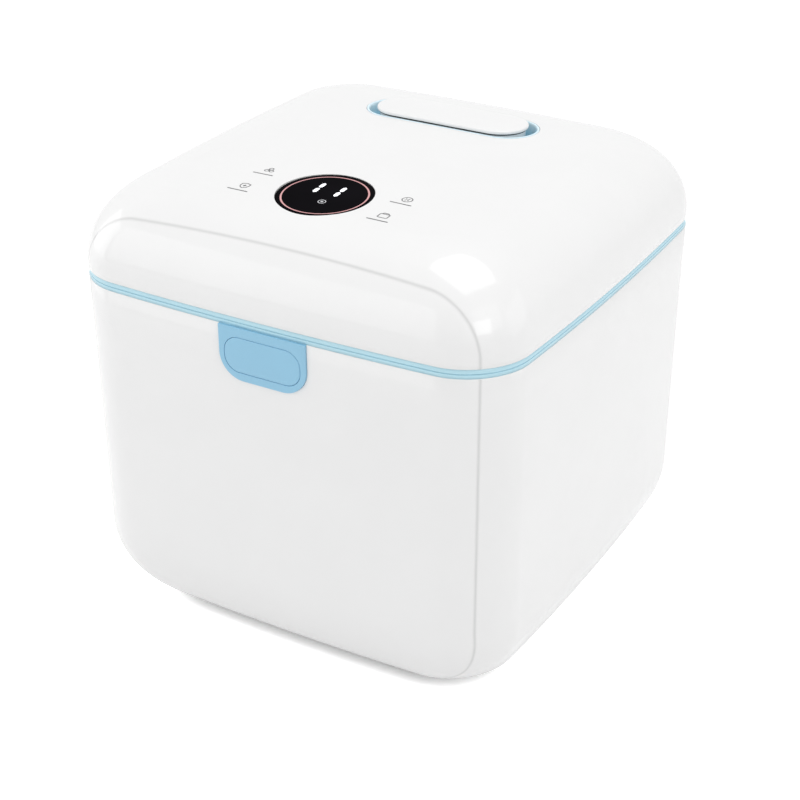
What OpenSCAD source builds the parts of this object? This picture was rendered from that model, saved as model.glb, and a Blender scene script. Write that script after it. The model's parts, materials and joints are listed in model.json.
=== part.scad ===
// Counter-top ultraviolet steriliser and dryer for pacifiers and bottles.
// Millimetres, +Z up, front towards -Y, origin on the floor under the middle of the plan.

/* [Housing] */
// Width and depth of the plan, across the middles of the sides
body_w = 280; // [250:1:310]
// Height of the body shell, from its underside to the blue seam
body_h = 213; // [190:1:235]
// Corner radius of the plan at the seam
corner_r = 35; // [28:1:45]
// How far the corners are drawn in, which bows the sides
corner_draw = 4.6; // [0:0.1:8]
// Wall of the body shell
wall = 3; // [2.4:0.1:4]
// How much narrower each wall is at the bottom than at the seam
wall_draft = 1.5; // [0:0.1:3]
// Reach of the bottom rounding, measured inwards
bottom_inset = 44; // [34:1:50]
// Height of the bottom rounding
bottom_rise = 53.6; // [40:0.1:60]
// Corner radius of the plan at the underside
base_corner_r = 33.5; // [28:0.5:38]
// Thickness of the base plate
base_t = 2.5; // [2:0.1:3.5]
// Floor clearance that the feet give
foot_gap = 3; // [2:0.5:8]

/* [Seam] */
// Thickness of the blue frame that closes the body wall
rim_t = 2.2; // [1.8:0.1:4]
// Gap between the body's blue band and the lid's
seam_gap = 0.5; // [0.4:0.1:1]
// Height of the lid's blue band
lid_trim_h = 2.6; // [2:0.1:4]
// How far both bands stand back from the walls
trim_inset = 0.4; // [0.2:0.1:0.8]

/* [Lid] */
// Wall of the lid shell
lid_wall = 2.8; // [2.4:0.1:3.6]
// Straight height of the lid wall above its band
lid_skirt_h = 3.6; // [2:0.1:10]
// Reach of the top rounding, measured inwards
top_inset = 46; // [36:1:52]
// Height of the top rounding
top_rise = 46.5; // [40:0.5:54]
// Corner radius of the plan where the crown starts
top_corner_r = 25; // [20:1:30]
// Slope of the crown at its edge, in degrees
crown_slope = 3.4; // [2:0.1:4.5]
// Thickness of the inner lid panel
panel_t = 2.4; // [2:0.1:3.2]

/* [Chamber] */
// Space between the body's side and the steel chamber
shell_space = 28.4; // [27:0.1:34]
// Corner radius of the chamber
liner_r = 32; // [24:1:40]
// Height of the chamber floor above the floor
liner_z = 72; // [70:1:90]
// Thickness of the chamber steel
liner_t = 0.8; // [0.6:0.1:1.2]
// Width of the chamber's folded flange
liner_flange = 6; // [4:0.5:7]
// Wire diameter of the rack
rack_wire = 3; // [2.4:0.2:4]
// Space between the rack and the chamber's wall, on each side
rack_space = 13.6; // [12:0.1:20]
// Height of the rack's floor above the chamber's
rack_z = 34; // [30:1:50]

/* [Display] */
// Distance of the display's middle from the front of the plan
display_inset = 64; // [60:1:70]
// Radius of the round display window
display_r = 27; // [24:0.5:29]
// Thickness of the display window
display_t = 1.5; // [1.3:0.1:1.6]
// Mean radius of the glowing ring
glow_r = 23.8; // [20:0.1:25]

/* [Handle] */
// Distance of the handle's middle from the rear of the plan
handle_inset = 74; // [72:1:80]
// Length of the pull-up bar
bar_l = 98; // [90:1:100]
// Depth of the pull-up bar, front to back
bar_d = 35; // [30:1:36]
// How far the bar stands above the lid
bar_proud = 2.4; // [1.6:0.1:3]
// Depth of the bar below the lid's surface
bar_sunk = 9.5; // [8:0.1:11]
// Length of the finger gap at each end of the bar
bar_end_gap = 5.2; // [4.6:0.1:6]
// Distance between the two guide posts
post_pitch = 76; // [66:1:78]
// Radius of a guide post
post_r = 4; // [3:0.1:4.5]
// How far the handle pulls up
handle_travel = 26; // [18:1:26]

/* [Latch] */
// Width of the blue tab under the seam
tab_w = 55; // [52:1:60]
// Height of the blue tab
tab_h = 31; // [29:1:36]
// Radius of the tab's lower corners
tab_r = 15; // [10:1:15]
// Width of the release button
button_w = 48; // [40:1:48]
// Height of the release button
button_h = 20.6; // [18:0.2:22]
// Corner radius of the release button
button_r = 9.2; // [6:0.2:9.6]
// How far the button presses in
button_travel = 2.5; // [1.5:0.5:2.5]

/* [Hinge] */
// Radius of the hinge knuckles
knuckle_r = 5; // [4.5:0.1:5.5]
// Radius of the hinge pin
pin_r = 2; // [1.5:0.1:2.5]
// Running clearance of pins, posts and shafts, measured on the radius
run_gap = 0.06; // [0.03:0.01:0.09]
// Width of the lid's middle knuckle
lid_knuckle_w = 60; // [40:1:70]
// Width of each body knuckle
body_knuckle_w = 20; // [14:1:24]

/* [Fan] */
// Radius of the blower wheel
wheel_r = 24; // [20:1:26]
// Height of the blower wheel
wheel_h = 18; // [14:1:20]
// Number of blades
blade_count = 24; // [12:1:30]

/* [Hidden] */
$fn = 64;

// Clearances
fit_gap = 0.3;
seat_gap = 0.2;
screw_gap = 0.05;
over = 1;

// Colours
shell_white = "#F4F4F4";
band_blue = "#9CC8E0";
steel = "#C9CCCF";
dark_plastic = "#3A3C40";
grey_rubber = "#8C8F92";
board_green = "#2F6B46";
gloss_black = "#101012";

// Heights of the stack
half_w = body_w / 2;
body_top = foot_gap + body_h;
rim_top = body_top + rim_t;
lid_base = rim_top + seam_gap;
lid_shell_z = lid_base + lid_trim_h;
fillet_z = lid_shell_z + lid_skirt_h;
hinge_z = rim_top + seam_gap / 2;
hinge_y = half_w + 0.2;
panel_z = lid_base + 1;
panel_top = panel_z + panel_t;
liner_w = body_w - 2 * shell_space;
liner_half = liner_w / 2;
rack_w = liner_w - 2 * rack_space;

// Crown of the lid
fillet_end = atan(top_rise / (top_inset * tan(crown_slope)));
crown_half = half_w - top_inset * (1 - cos(fillet_end));
crown_rise = crown_half * tan(crown_slope) / 2;
crown_edge_z = fillet_z + top_rise * sin(fillet_end);

// Plan outline: a rounded square whose corners are drawn in
corner_steps = 7;
side_steps = 8;
function quarter(a, r) = concat(
    [for (i = [0 : corner_steps])
        let (t = 90 * i / corner_steps) [a - r + r * cos(t), a - r + r * sin(t)]],
    [for (i = [1 : side_steps - 1]) [(a - r) * (1 - 2 * i / side_steps), a]]
);
function turned(p, q) = q == 0 ? p : turned([-p[1], p[0]], q - 1);
function rounded_square(a, r) = [for (q = [0 : 3]) for (p = quarter(a, r)) turned(p, q)];
function drawn_in(v, other, a) = v * (1 - corner_draw / half_w * pow(other / a, 2));
function plan(a, r) = [for (p = rounded_square(a, r)) [drawn_in(p[0], p[1], a), drawn_in(p[1], p[0], a)]];

// A smooth solid through sections, each one [half width, corner radius, height]
module loft(sections) {
    rings = [for (s = sections) [for (p = plan(s[0], s[1])) [p[0], p[1], s[2]]]];
    n = len(rings[0]);
    m = len(rings);
    sides = [for (k = [0 : m - 2]) for (i = [0 : n - 1])
        let (a = k * n + i, b = k * n + (i + 1) % n)
        for (t = [[a, a + n, b + n], [a, b + n, b]]) t];
    bottom = [for (i = [0 : n - 1]) i];
    top = [for (i = [n - 1 : -1 : 0]) (m - 1) * n + i];
    polyhedron([for (r = rings) for (p = r) p], concat(sides, [bottom, top]));
}

// A flat plate with the plan outline, set in from the wall by inset
module plan_plate(inset, z, h) {
    translate([0, 0, z])
        linear_extrude(h)
            polygon(plan(half_w - inset, max(corner_r - inset, 6)));
}

module plan_ring(outer_inset, inner_inset, z, h) {
    difference() {
        plan_plate(outer_inset, z, h);
        plan_plate(inner_inset, z - over, h + 2 * over);
    }
}

module square_plate(w, r, z, h) {
    translate([0, 0, z])
        linear_extrude(h)
            polygon(rounded_square(w / 2, r));
}

// A block from its low corner to its high corner
module block(low, high) {
    translate(low)
        cube(high - low);
}

module bar_x(y, z, r, x0, x1) {
    translate([x0, y, z])
        rotate([0, 90, 0])
            cylinder(r = r, h = x1 - x0);
}

module bar_y(x, z, r, y0, y1) {
    translate([x, y0, z])
        rotate([-90, 0, 0])
            cylinder(r = r, h = y1 - y0);
}

// A round-ended bar along X whose edges are rounded
module pill(l, d, z0, z1, top_r = 0, bottom_r = 0) {
    steps = 5;
    half = concat(
        [[0, z0]],
        bottom_r > 0
            ? [for (i = [0 : steps])
                let (t = 90 * i / steps)
                [d / 2 - bottom_r + bottom_r * sin(t), z0 + bottom_r - bottom_r * cos(t)]]
            : [[d / 2, z0]],
        top_r > 0
            ? [for (i = [0 : steps])
                let (t = 90 * i / steps)
                [d / 2 - top_r + top_r * cos(t), z1 - top_r + top_r * sin(t)]]
            : [[d / 2, z1]],
        [[0, z1]]
    );
    whole = concat(half, [for (i = [len(half) - 2 : -1 : 1]) [-half[i][0], half[i][1]]]);
    for (side = [-1, 1])
        translate([side * (l - d) / 2, 0, 0])
            rotate([0, 0, side > 0 ? -90 : 90])
                rotate_extrude(angle = 180)
                    polygon(half);
    rotate([90, 0, 90])
        linear_extrude(l - d, center = true)
            polygon(whole);
}

// A pan-head screw, head downwards, tip up
module screw(r, head_r, head_h, length) {
    cylinder(r = head_r, h = head_h);
    translate([0, 0, head_h])
        cylinder(r = r, h = length);
}

screw_r = 1.4;
screw_head_r = 2.8;
screw_head_h = 1.8;
screw_hole_r = screw_r + screw_gap;
boss_r = 3.8;

// Body shell
function wall_inset(z) = wall_draft * (body_top - z) / body_h;
body_steps = 8;
shell_floor_t = 5;
function body_sections(t, floor_t) = concat(
    [for (k = [0 : body_steps])
        let (a = 90 * (1 - k / body_steps), u = 1 - cos(a))
        [
            half_w - t - wall_inset(foot_gap + bottom_rise) - (bottom_inset - t) * u,
            (corner_r - t) * (1 - u) + (base_corner_r - t) * u,
            foot_gap + floor_t + (bottom_rise - floor_t) * (1 - sin(a))
        ]],
    [[half_w - t, corner_r - t, body_top + (t > 0 ? over : 0)]]
);

base_edge = half_w - wall_inset(foot_gap + bottom_rise) - bottom_inset;
base_half = base_edge - 3;
base_hole_half = base_half - 12;
base_screw_y = base_half - 6;
base_screw_x = 52;
base_boss_top = foot_gap + 20;
module base_screw_places() {
    for (sx = [-1, 1], sy = [-1, 1])
        translate([sx * base_screw_x, sy * base_screw_y, 0])
            children();
}

vent_count = 9;
vent_pitch = 7;
vent_w = 3;
vent_h = 34;
vent_x = -62;
vent_drop = 56;
vent_z = body_top - vent_drop;
module vent_slots(y0, y1) {
    for (i = [0 : vent_count - 1])
        translate([vent_x + i * vent_pitch, 0, vent_z])
            block([-vent_w / 2, y0, -vent_h / 2], [vent_w / 2, y1, vent_h / 2]);
}

inlet_inset = 56;
inlet_x = half_w - inlet_inset;
inlet_z = 64;
inlet_w = 27;
inlet_h = 21;
inlet_face_y = half_w - 8;
inlet_depth = 19;
module inlet_window(gap) {
    block(
        [inlet_x - inlet_w / 2 - gap, inlet_face_y - 2 * wall, inlet_z - inlet_h / 2 - gap],
        [inlet_x + inlet_w / 2 + gap, half_w + over, inlet_z + inlet_h / 2 + gap]
    );
}

module body_shell() {
    color(shell_white)
    difference() {
        loft(body_sections(0, 0));
        difference() {
            loft(body_sections(wall, shell_floor_t));
            base_screw_places()
                cylinder(r = boss_r, h = base_boss_top);
            block(
                [inlet_x - 20, inlet_face_y - wall, inlet_z - 18],
                [inlet_x + 20, half_w, inlet_z + 18]
            );
        }
        translate([0, 0, foot_gap - over])
            linear_extrude(base_t + over)
                polygon(plan(base_half, base_corner_r - 3));
        translate([0, 0, foot_gap])
            linear_extrude(shell_floor_t + over)
                polygon(plan(base_hole_half, base_corner_r - 12));
        base_screw_places()
            translate([0, 0, foot_gap])
                cylinder(r = screw_hole_r, h = 14);
        tab_pocket();
        bezel_window();
        hinge_window();
        hinge_clearance();
        hinge_bracket_screw_places()
            cylinder(r = screw_hole_r, h = bracket_screw_l + 0.2);
        latch_bracket_screw_places()
            cylinder(r = screw_hole_r, h = bracket_screw_l - 0.6);
        vent_slots(half_w - 20, half_w + over);
        inlet_window(fit_gap);
        block(
            [inlet_x - 17, inlet_face_y, inlet_z - 14],
            [inlet_x + 17, half_w + over, inlet_z + 14]
        );
    }
}

// Base plate and feet
foot_r = 11;
foot_inset = 27.9;
foot_xy = base_half - foot_inset;
foot_stem_r = 4;
foot_bulb_r = 5;
board_z = foot_gap + base_t + 8;
board_low = [-58, -76];
board_high = [58, -14];
board_hole_inset = 5;
module board_screw_places() {
    for (x = [board_low[0] + board_hole_inset, board_high[0] - board_hole_inset])
        for (y = [board_low[1] + board_hole_inset, board_high[1] - board_hole_inset])
            translate([x, y, 0])
                children();
}

fan_x = -30;
fan_y = 36;
filter_r = 27;
filter_t = 4;
grille_rings = 4;
grille_pitch = 6;
grille_gap = 3;
module base_plate() {
    top = foot_gap + base_t;
    color(shell_white)
    difference() {
        union() {
            translate([0, 0, foot_gap])
                linear_extrude(base_t)
                    polygon(plan(base_half - seat_gap, base_corner_r - 3 - seat_gap));
            board_screw_places()
                translate([0, 0, top])
                    cylinder(r = boss_r, h = board_z - top);
            translate([fan_x, fan_y, top])
                difference() {
                    cylinder(r = filter_r + 2, h = filter_t);
                    translate([0, 0, -over])
                        cylinder(r = filter_r + seat_gap, h = filter_t + 2 * over);
                }
        }
        for (sx = [-1, 1], sy = [-1, 1])
            translate([sx * foot_xy, sy * foot_xy, foot_gap - over])
                cylinder(r = foot_stem_r + seat_gap, h = base_t + 2 * over);
        base_screw_places()
            translate([0, 0, foot_gap - over]) {
                cylinder(r = screw_hole_r + 0.1, h = base_t + 2 * over);
                cylinder(r = screw_head_r + seat_gap, h = 1.5 + over);
            }
        board_screw_places()
            translate([0, 0, foot_gap + 1])
                cylinder(r = screw_hole_r, h = board_z);
        blower_leg_places()
            translate([0, 0, foot_gap - over]) {
                cylinder(r = screw_hole_r + 0.1, h = base_t + 2 * over);
                cylinder(r = screw_head_r + seat_gap, h = 1.5 + over);
            }
        translate([fan_x, fan_y, foot_gap - over])
            difference() {
                for (k = [0 : grille_rings - 1])
                    difference() {
                        cylinder(r = (k + 1) * grille_pitch - 1, h = base_t + 2 * over);
                        translate([0, 0, -over])
                            cylinder(r = (k + 1) * grille_pitch - 1 - grille_gap, h = base_t + 4 * over);
                    }
                for (a = [0, 60, 120])
                    rotate([0, 0, a])
                        translate([-filter_r, -1.5, -over])
                            cube([2 * filter_r, 3, base_t + 4 * over]);
            }
    }
}

module foot(sx, sy) {
    color(grey_rubber)
    translate([sx * foot_xy, sy * foot_xy, 0]) {
        cylinder(r1 = foot_r - 0.8, r2 = foot_r, h = 0.8);
        translate([0, 0, 0.8])
            cylinder(r = foot_r, h = foot_gap - 0.8);
        cylinder(r = foot_stem_r, h = foot_gap + base_t + 0.4);
        translate([0, 0, foot_gap + base_t + 0.2])
            cylinder(r1 = foot_bulb_r, r2 = foot_stem_r - 1, h = 2.6);
    }
}

module base_screws() {
    color(steel)
    base_screw_places()
        translate([0, 0, foot_gap + 0.2])
            screw(screw_r, screw_head_r, 1.2, 12);
}

// Blue frame on top of the body
skirt_h = 9;
slot_x = 10;
slot_front = half_w - 6;
slot_rear = liner_half + liner_flange + 0.7;
module latch_slot(z, h) {
    block([-slot_x, -slot_front, z], [slot_x, -slot_rear, z + h]);
}

module rim_frame() {
    color(band_blue)
    difference() {
        union() {
            plan_plate(trim_inset, body_top, rim_t);
            plan_ring(wall + fit_gap, wall + fit_gap + 2.2, body_top - skirt_h, skirt_h);
        }
        square_plate(liner_w + 2 * seat_gap, liner_r + seat_gap, body_top - over, rim_t + 2 * over);
        square_plate(
            liner_w + 2 * liner_flange + 2 * fit_gap, liner_r + liner_flange + fit_gap,
            rim_top - liner_t - 0.2, rim_t
        );
        latch_slot(body_top - over, rim_t + 2 * over);
        hinge_window();
        hinge_clearance();
        block([-tab_w / 2, -half_w, body_top - skirt_h - over], [tab_w / 2, -half_w + 20, body_top]);
    }
}

// Steel chamber
liner_fillet = 14;
fillet_steps = 5;
liner_top = rim_top - 0.1;
module liner_profile() {
    outer = [for (i = [0 : fillet_steps])
        let (t = 90 * i / fillet_steps)
        [-liner_fillet + liner_fillet * sin(t), liner_z + liner_fillet * (1 - cos(t))]];
    inner_r = liner_fillet - liner_t;
    inner = [for (i = [fillet_steps : -1 : 0])
        let (t = 90 * i / fillet_steps)
        [-liner_fillet + inner_r * sin(t), liner_z + liner_fillet - inner_r * cos(t)]];
    polygon(concat(
        [[-liner_r, liner_z]], outer,
        [[0, liner_top - liner_t], [liner_flange, liner_top - liner_t], [liner_flange, liner_top]],
        [[-liner_t, liner_top]], inner, [[-liner_r, liner_z + liner_t]]
    ));
}

floor_slot_count = 6;
duct_w = 28;
duct_wall = 1.6;
duct_high = [liner_half - liner_fillet - duct_wall, 52];
duct_low = [duct_high[0] - duct_w, 22];
module floor_slots() {
    pitch = (duct_high[0] - duct_low[0] - 6) / floor_slot_count;
    for (i = [0 : floor_slot_count - 1])
        translate([duct_low[0] + 3 + pitch * (i + 0.5), 0, liner_z - over])
            block([-1.2, duct_low[1] + 5, 0], [1.2, duct_high[1] - 5, liner_t + 2 * over]);
}

module chamber_liner() {
    straight = liner_w - 2 * liner_r;
    color(steel)
    difference() {
        union() {
            for (q = [0 : 3])
                rotate([0, 0, 90 * q]) {
                    translate([straight / 2, straight / 2, 0])
                        rotate_extrude(angle = 90)
                            translate([liner_r, 0])
                                liner_profile();
                    translate([liner_half, 0, 0])
                        rotate([90, 0, 0])
                            linear_extrude(straight, center = true)
                                liner_profile();
                }
            translate([0, 0, liner_z + liner_t / 2])
                cube([straight, straight, liner_t], center = true);
        }
        floor_slots();
        vent_slots(liner_half - over, liner_half + over);
    }
}

// Wire rack that stands on the chamber floor
rack_r = 24;
rack_fence = 16;
rack_bars = 12;
rack_leg_inset = 38;
rack_leg_x = rack_w / 2 - rack_leg_inset;
rack_leg_r = rack_wire / 2 - 0.25;
rack_brace_y = 40;
rack_floor_z = liner_z + liner_t + rack_z;
weld_gap = 0.05;
weld_depth = 0.4;
bend_thinning = 0.1;
module wire_loop(w, r, z) {
    translate([0, 0, z])
        for (q = [0 : 3])
            rotate([0, 0, 90 * q]) {
                translate([w / 2 - r, w / 2 - r, 0])
                    rotate_extrude(angle = 90)
                        translate([r, 0])
                            rotate([0, 0, 30])
                                circle(r = rack_wire / 2 - bend_thinning);
                bar_y(w / 2, 0, rack_wire / 2, -(w / 2 - r) - over, w / 2 - r + over);
            }
}

module wire_rack() {
    wr = rack_wire / 2;
    floor_w = rack_w - 2 * (weld_depth + weld_gap);
    bar_span = rack_w - 2 * rack_r - 8;
    pitch = bar_span / (rack_bars - 1);
    color(steel) {
        wire_loop(floor_w, rack_r, rack_floor_z);
        for (i = [0 : rack_bars - 1])
            bar_y(-bar_span / 2 + i * pitch, rack_floor_z - rack_wire * 0.7, wr, -floor_w / 2, floor_w / 2);
        for (s = [-1, 1])
            bar_x(s * rack_brace_y, rack_floor_z - rack_wire * 1.4, wr, -bar_span / 2 - wr - 1, bar_span / 2 + wr + 1);
    }
}

// Fence of the rack: its upper wire, four legs and four posts, welded outside the floor's wire
module rack_fence() {
    out = rack_w / 2 + rack_wire / 2 + rack_leg_r - weld_depth;
    bend_r = liner_fillet - liner_t;
    reach = max(0, out + rack_leg_r - (liner_half - liner_fillet));
    leg_low = liner_z + liner_t + bend_r - sqrt(pow(bend_r, 2) - pow(reach, 2)) + fit_gap;
    color(steel) {
        wire_loop(rack_w, rack_r, rack_floor_z + rack_fence);
        for (sx = [-1, 1], sy = [-1, 1]) {
            translate([sx * rack_leg_x, sy * out, leg_low])
                cylinder(r = rack_leg_r, h = rack_floor_z + rack_fence - leg_low);
            translate([sx * out, sy * rack_leg_x, rack_floor_z - rack_wire / 2])
                cylinder(r = rack_leg_r, h = rack_fence + rack_wire / 2);
        }
    }
}

// Ultraviolet lamps: a tube, two end caps and two sockets each
lamp_r = 8;
window_x = liner_half - 25.6;
window_y = 24;
lamp_inset = 16;
lamp_half = window_x - lamp_inset;
lamp_cap_l = 8;
lamp_pin_r = 1.2;
lamp_pin_pitch = 5;
socket_l = 9;
lower_lamp_z = liner_z + liner_t + 15;
module lamp_tube(z) {
    color("#DDE6F0", 0.5)
    difference() {
        bar_x(0, z, lamp_r - 0.2, -lamp_half, lamp_half);
        bar_x(0, z, lamp_r - 1.2, -lamp_half - over, lamp_half + over);
    }
}

module lamp_caps(z) {
    color(steel)
    for (s = [-1, 1])
        scale([s, 1, 1]) {
            bar_x(0, z, lamp_r, lamp_half + 0.05, lamp_half + lamp_cap_l);
            for (dz = [-lamp_pin_pitch / 2, lamp_pin_pitch / 2])
                bar_x(0, z + dz, lamp_pin_r, lamp_half + lamp_cap_l, lamp_half + lamp_cap_l + 6);
        }
}

module lamp_sockets(z, z_foot) {
    x0 = lamp_half + lamp_cap_l + seat_gap;
    low = min(z - lamp_r - 2, z_foot);
    high = max(z + lamp_r + 2, z_foot);
    color(shell_white)
    for (s = [-1, 1])
        difference() {
            translate([s * (x0 + socket_l / 2), 0, (low + high) / 2])
                cube([socket_l, 2 * lamp_r + 2, high - low], center = true);
            for (dz = [-lamp_pin_pitch / 2, lamp_pin_pitch / 2])
                bar_x(0, z + dz, lamp_pin_r + 0.1, s > 0 ? x0 - over : -x0 - 7, s > 0 ? x0 + 7 : -x0 + over);
        }
}

// Latch: bezel, button, lever, bracket, pin and spring
tab_proud = 1.1;
tab_sink = 0.8;
tab_top = body_top;
tab_bottom = tab_top - tab_h;
button_z = tab_top - 15.9;
button_gap = 0.3;
plug_wall = 1.9;
tab_face = -(half_w + tab_proud);
pocket_y = -(half_w - tab_sink);
plug_rear = -(half_w - 10);
module tab_shape(grow) {
    r = tab_r + grow;
    w = tab_w + 2 * grow;
    steps = 8;
    polygon(concat(
        [[w / 2, tab_top], [-w / 2, tab_top]],
        [for (i = [0 : steps])
            let (t = 90 * i / steps) [-w / 2 + r - r * cos(t), tab_bottom - grow + r - r * sin(t)]],
        [for (i = [0 : steps])
            let (t = 90 * i / steps) [w / 2 - r + r * sin(t), tab_bottom - grow + r - r * cos(t)]]
    ));
}

// Extrudes a front view, drawn in X and Z, from y0 back to y1
module front_extrude(y0, y1) {
    translate([0, y1, 0])
        rotate([90, 0, 0])
            linear_extrude(y1 - y0)
                children();
}

module button_shape(grow) {
    r = button_r + grow;
    w = button_w / 2 + grow - r;
    h = button_h / 2 + grow - r;
    steps = 8;
    polygon([for (q = [0 : 3]) for (i = [0 : steps])
        let (
            t = 90 * q + 90 * i / steps,
            sx = q == 0 || q == 3 ? 1 : -1,
            sz = q < 2 ? 1 : -1
        )
        [sx * w + r * cos(t), button_z + sz * h + r * sin(t)]]);
}

module tab_pocket() {
    front_extrude(-(half_w + over), pocket_y)
        tab_shape(0.15);
}

module bezel_window() {
    front_extrude(-(half_w + over), -(half_w - 20))
        button_shape(button_gap + plug_wall + seat_gap);
}

module latch_bezel() {
    color(band_blue)
    difference() {
        union() {
            front_extrude(tab_face, pocket_y)
                tab_shape(0);
            front_extrude(pocket_y, plug_rear)
                button_shape(button_gap + plug_wall);
        }
        front_extrude(tab_face - over, plug_rear + over)
            button_shape(button_gap);
    }
}

button_face = tab_face - 0.4;
lever_front = -(half_w - 13);
lever_t = 3.5;
lever_half_w = 7;
lever_rear = lever_front + lever_t;
stem_r = 3;
stem_tip_r = 1.2;
module release_button() {
    front_y = button_face;
    skirt_y = plug_rear + button_travel + 1.5;
    color(band_blue)
    difference() {
        union() {
            front_extrude(front_y, front_y + 0.6)
                button_shape(-0.6);
            front_extrude(front_y + 0.6, plug_rear + seat_gap)
                button_shape(0);
            front_extrude(plug_rear + seat_gap, plug_rear + 1.6)
                button_shape(button_gap + 1.2);
            bar_y(0, button_z, stem_r, front_y + 2.2, lever_front - 1);
            bar_y(0, button_z, stem_tip_r, lever_front - 1.2, lever_front - 0.15);
        }
        front_extrude(front_y + 2.4, skirt_y)
            difference() {
                button_shape(-2);
                translate([0, button_z])
                    circle(r = stem_r + 0.6);
            }
    }
}

pivot_y = lever_front + lever_t / 2;
pivot_drop = 34;
pivot_z = button_z - pivot_drop;
lever_barrel_r = 3.6;
latch_pin_r = 1.5;
striker_t = 1.2;
striker_half = 17;
nose_z = panel_top + striker_t + 0.6;
nose_gap = 0.5;
nose_h = 4;
striker_front = half_w - 8.4;
module latch_lever() {
    color(dark_plastic)
    difference() {
        union() {
            block([-lever_half_w, lever_front, pivot_z], [lever_half_w, lever_rear, nose_z + nose_h]);
            bar_x(pivot_y, pivot_z, lever_barrel_r, -lever_half_w, lever_half_w);
            translate([-lever_half_w, 0, 0])
                rotate([90, 0, 90])
                    linear_extrude(2 * lever_half_w)
                        polygon([
                            [lever_front + over, nose_z],
                            [lever_front + over, nose_z + nose_h],
                            [lever_front, nose_z + nose_h],
                            [-(striker_front - nose_gap), nose_z + 1],
                            [-(striker_front - nose_gap), nose_z]
                        ]);
            bar_y(0, button_z, 2.2, lever_rear, lever_rear + 2.4);
        }
        bar_x(pivot_y, pivot_z, latch_pin_r + run_gap, -lever_half_w - over, lever_half_w + over);
    }
}

bracket_x = lever_half_w + 0.6;
bracket_t = 2.4;
bracket_half = 22;
bracket_t_rear = 1.6;
bracket_rear = -(liner_half + 0.9 + bracket_t_rear);
bracket_front = -(half_w - wall - 0.7);
spring_wire = 0.4;
spring_r = 3.4;
module latch_bracket() {
    low_z = pivot_z - 6;
    high_z = button_z + 7;
    color(steel)
    difference() {
        union() {
            for (s = [-1, 1])
                block(
                    [s > 0 ? bracket_x : -bracket_x - bracket_t, bracket_front, low_z],
                    [s > 0 ? bracket_x + bracket_t : -bracket_x, bracket_rear + bracket_t_rear, pivot_z + 6]
                );
            for (s = [-1, 1])
                block(
                    [s > 0 ? bracket_x : -bracket_x - bracket_t, bracket_rear - 3, low_z],
                    [s > 0 ? bracket_x + bracket_t : -bracket_x, bracket_rear + bracket_t_rear, high_z]
                );
            block(
                [-bracket_x - bracket_t, bracket_rear, low_z],
                [bracket_x + bracket_t, bracket_rear + bracket_t_rear, high_z]
            );
            block([-bracket_half, bracket_front, low_z], [bracket_half, bracket_front + 1.6, pivot_z + 4.5]);
            bar_y(0, button_z, 2.2, bracket_rear - 1.6, bracket_rear);
        }
        bar_x(pivot_y, pivot_z, latch_pin_r, -20, 20);
        latch_bracket_screw_places()
            cylinder(r = screw_hole_r, h = 12, center = true);
    }
}

module latch_bracket_screw_places() {
    for (s = [-1, 1])
        translate([s * (bracket_half - 5), bracket_front + 1.6, pivot_z])
            rotate([90, 0, 0])
                children();
}

module latch_pin() {
    color(steel)
        bar_x(pivot_y, pivot_z, latch_pin_r, -(bracket_x + bracket_t + 1), bracket_x + bracket_t + 1);
}

// One unbroken wire wound round the Y axis
module coil_y(r, wire, y0, y1, turns) {
    rings = 12 * turns;
    sides = 6;
    points = [for (k = [0 : rings]) for (s = [0 : sides - 1])
        let (
            a = 360 * turns * k / rings,
            b = 360 * s / sides,
            rr = r + wire * cos(b)
        )
        [rr * cos(a), y0 + (y1 - y0) * k / rings + wire * sin(b), rr * sin(a)]];
    walls = [for (k = [0 : rings - 1]) for (s = [0 : sides - 1])
        let (p = k * sides + s, q = k * sides + (s + 1) % sides)
        for (t = [[p, p + sides, q + sides], [p, q + sides, q]]) t];
    start = [for (s = [0 : sides - 1]) s];
    finish = [for (s = [sides - 1 : -1 : 0]) rings * sides + s];
    polyhedron(points, concat(walls, [start, finish]));
}

module latch_spring() {
    color(steel)
        translate([0, 0, button_z])
            coil_y(spring_r, spring_wire, lever_rear + spring_wire + 0.1,
                bracket_rear - spring_wire - 0.1, 5);
}

// Hinge: a bracket in the body's rear wall, a leaf in the lid and one pin
knuckle_gap = 0.4;
hinge_half = lid_knuckle_w / 2 + knuckle_gap + body_knuckle_w;
hinge_plug_h = 22;
hinge_flange_z = body_top - hinge_plug_h - 6;
bracket_screw_l = 5;
module hinge_window() {
    block(
        [-hinge_half - seat_gap, half_w - 14, body_top - hinge_plug_h - seat_gap],
        [hinge_half + seat_gap, half_w + over, rim_top + over]
    );
}

module hinge_clearance() {
    bar_x(hinge_y, hinge_z, knuckle_r + 0.5, -hinge_half - 2 * knuckle_gap, hinge_half + 2 * knuckle_gap);
}

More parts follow.
